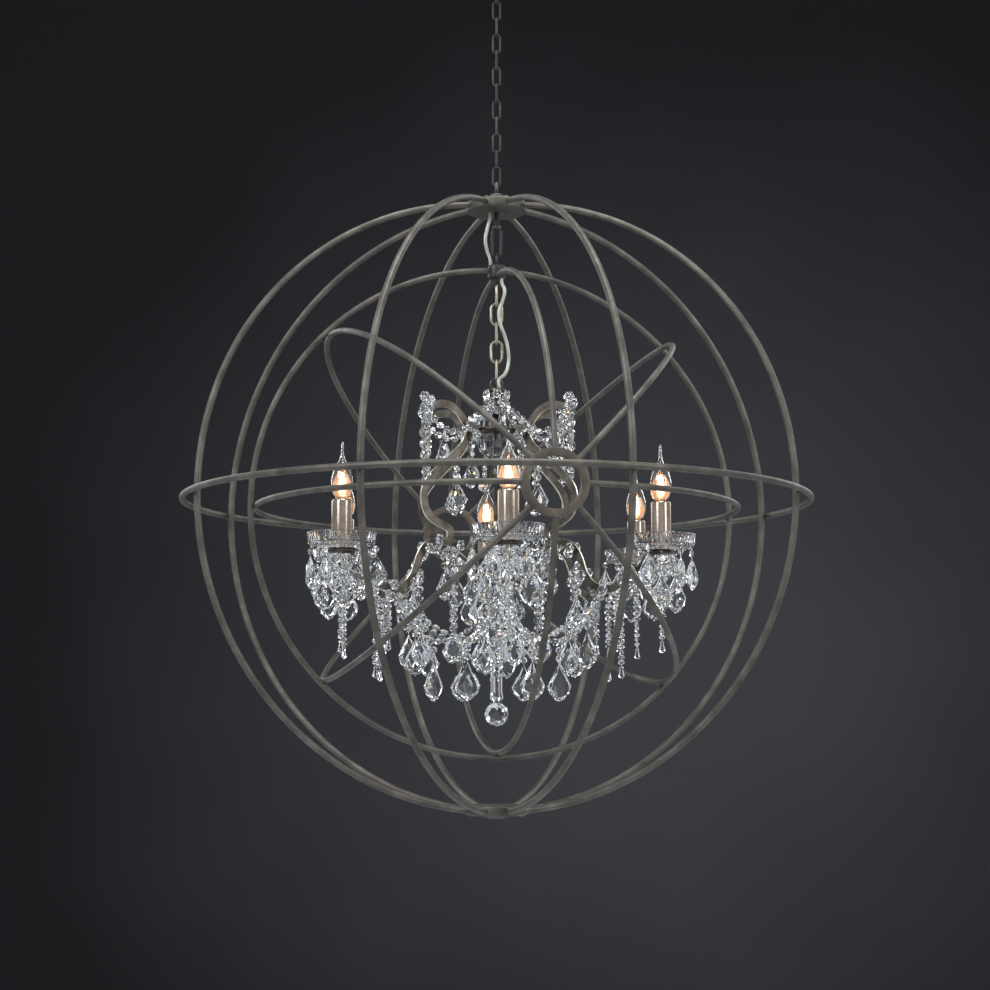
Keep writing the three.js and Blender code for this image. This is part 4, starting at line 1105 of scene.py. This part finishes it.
def painted_shade_sheet(name):
    """Matte sheet of painted shade: painted darker at its edges, with a painted pool of light low on
    the right and a faint random mottle
    """
    finish = Finish(name)
    # Size and place of the painted pool of light
    pool_wide, pool_right, pool_height = 3.4, 0.7, -1.05
    near = finish.add("ShaderNodeMapping", Vector=finish.place, Scale=(1 / pool_wide,) * 3, Location=(
        -pool_right / pool_wide, -SHADE_SHEET_BEHIND / pool_wide, -pool_height / pool_wide))
    # Painted pool of light: paler towards its middle, low on the right
    pool = finish.add("ShaderNodeTexGradient", Vector=near.outputs[0])
    pool.gradient_type = "SPHERICAL"
    grain_and_light_pool = finish.maths("MULTIPLY_ADD", finish.grain(0.9, 4), 0.3, pool.outputs["Fac"])
    # Painted shade, darkest at the edges and paler in the painted pool of light
    tone = finish.ramp(grain_and_light_pool, (0.42, (0.0098, 0.0098, 0.0115)), (1.0, (0.0450, 0.0450, 0.0500)),
                       (0.7, (0.0250, 0.0250, 0.0285)))
    finish.shade(Base_Color=tone, Roughness=0.95, Specular_IOR_Level=0.15)
    return finish.material


def staged(name, bm, material):
    mesh = bpy.data.meshes.new(name)
    bm.to_mesh(mesh)
    bm.free()
    mesh.shade_smooth()
    mesh.materials.append(material)
    piece = bpy.data.objects.new(name, mesh)
    scene.collection.objects.link(piece)


def studio():
    floor_height, reach, bend, tall = -2.9, 8.0, 2.0, 5.5
    corner = [(reach - bend + bend * sin(a), floor_height + bend - bend * cos(a)) for a in
              [radians(10 * step) for step in range(10)]]
    cove = turned([(0, floor_height), *corner, (reach, tall)], 64)
    lid = [face for face in cove.faces if face.calc_center_median().z > tall - 0.01]
    bmesh.ops.delete(cove, geom=lid, context="FACES")
    bmesh.ops.reverse_faces(cove, faces=cove.faces)
    staged("studio_cove", cove, pale_surface("pale_cove", STUDIO_PALE, 0.42))
    # Painted shade: a dark sheet behind the orb
    sheet = bmesh.new()
    bmesh.ops.create_grid(sheet, x_segments=12, y_segments=12, size=0.5)
    lay = Matrix.Translation((0, SHADE_SHEET_BEHIND, -0.55)) @ UPRIGHT @ Matrix.Diagonal((5.2, 4.6, 1, 1))
    staged("painted_shade_backdrop", moved(sheet, lay), painted_shade_sheet("painted_shade_sheet"))

    world = bpy.data.worlds.new("studio_air")
    scene.world = world
    world.use_nodes = True
    background = world.node_tree.nodes["Background"]
    background.inputs["Color"].default_value = (*STUDIO_PALE, 1)
    background.inputs["Strength"].default_value = 0.34

    aim = Vector((0, 0, -0.9))
    lamps = [
        ("key", (-2.6, -3.0, 1.3), (1.5, 1.5), 115),
        ("fill", (3.2, -2.4, 0.2), (1.2, 2.2), 52),
        ("rim_left", (-2.6, 2.8, 0.6), (0.7, 2.4), 30),
        ("rim_right", (2.6, 2.6, 0.9), (0.7, 2.4), 34),
        ("top", (0.3, -0.9, 2.4), (1.6, 1.6), 105),
    ]
    for name, place, size, power in lamps:
        data = bpy.data.lights.new(name, "AREA")
        data.shape = "RECTANGLE"
        data.size, data.size_y = size
        data.energy = power
        lamp_object = bpy.data.objects.new(name, data)
        lamp_object.location = place
        lamp_object.rotation_euler = (aim - Vector(place)).to_track_quat("-Z", "Y").to_euler()
        scene.collection.objects.link(lamp_object)
    scene.view_settings.view_transform = "Standard"


studio()

bpy.context.view_layer.update()
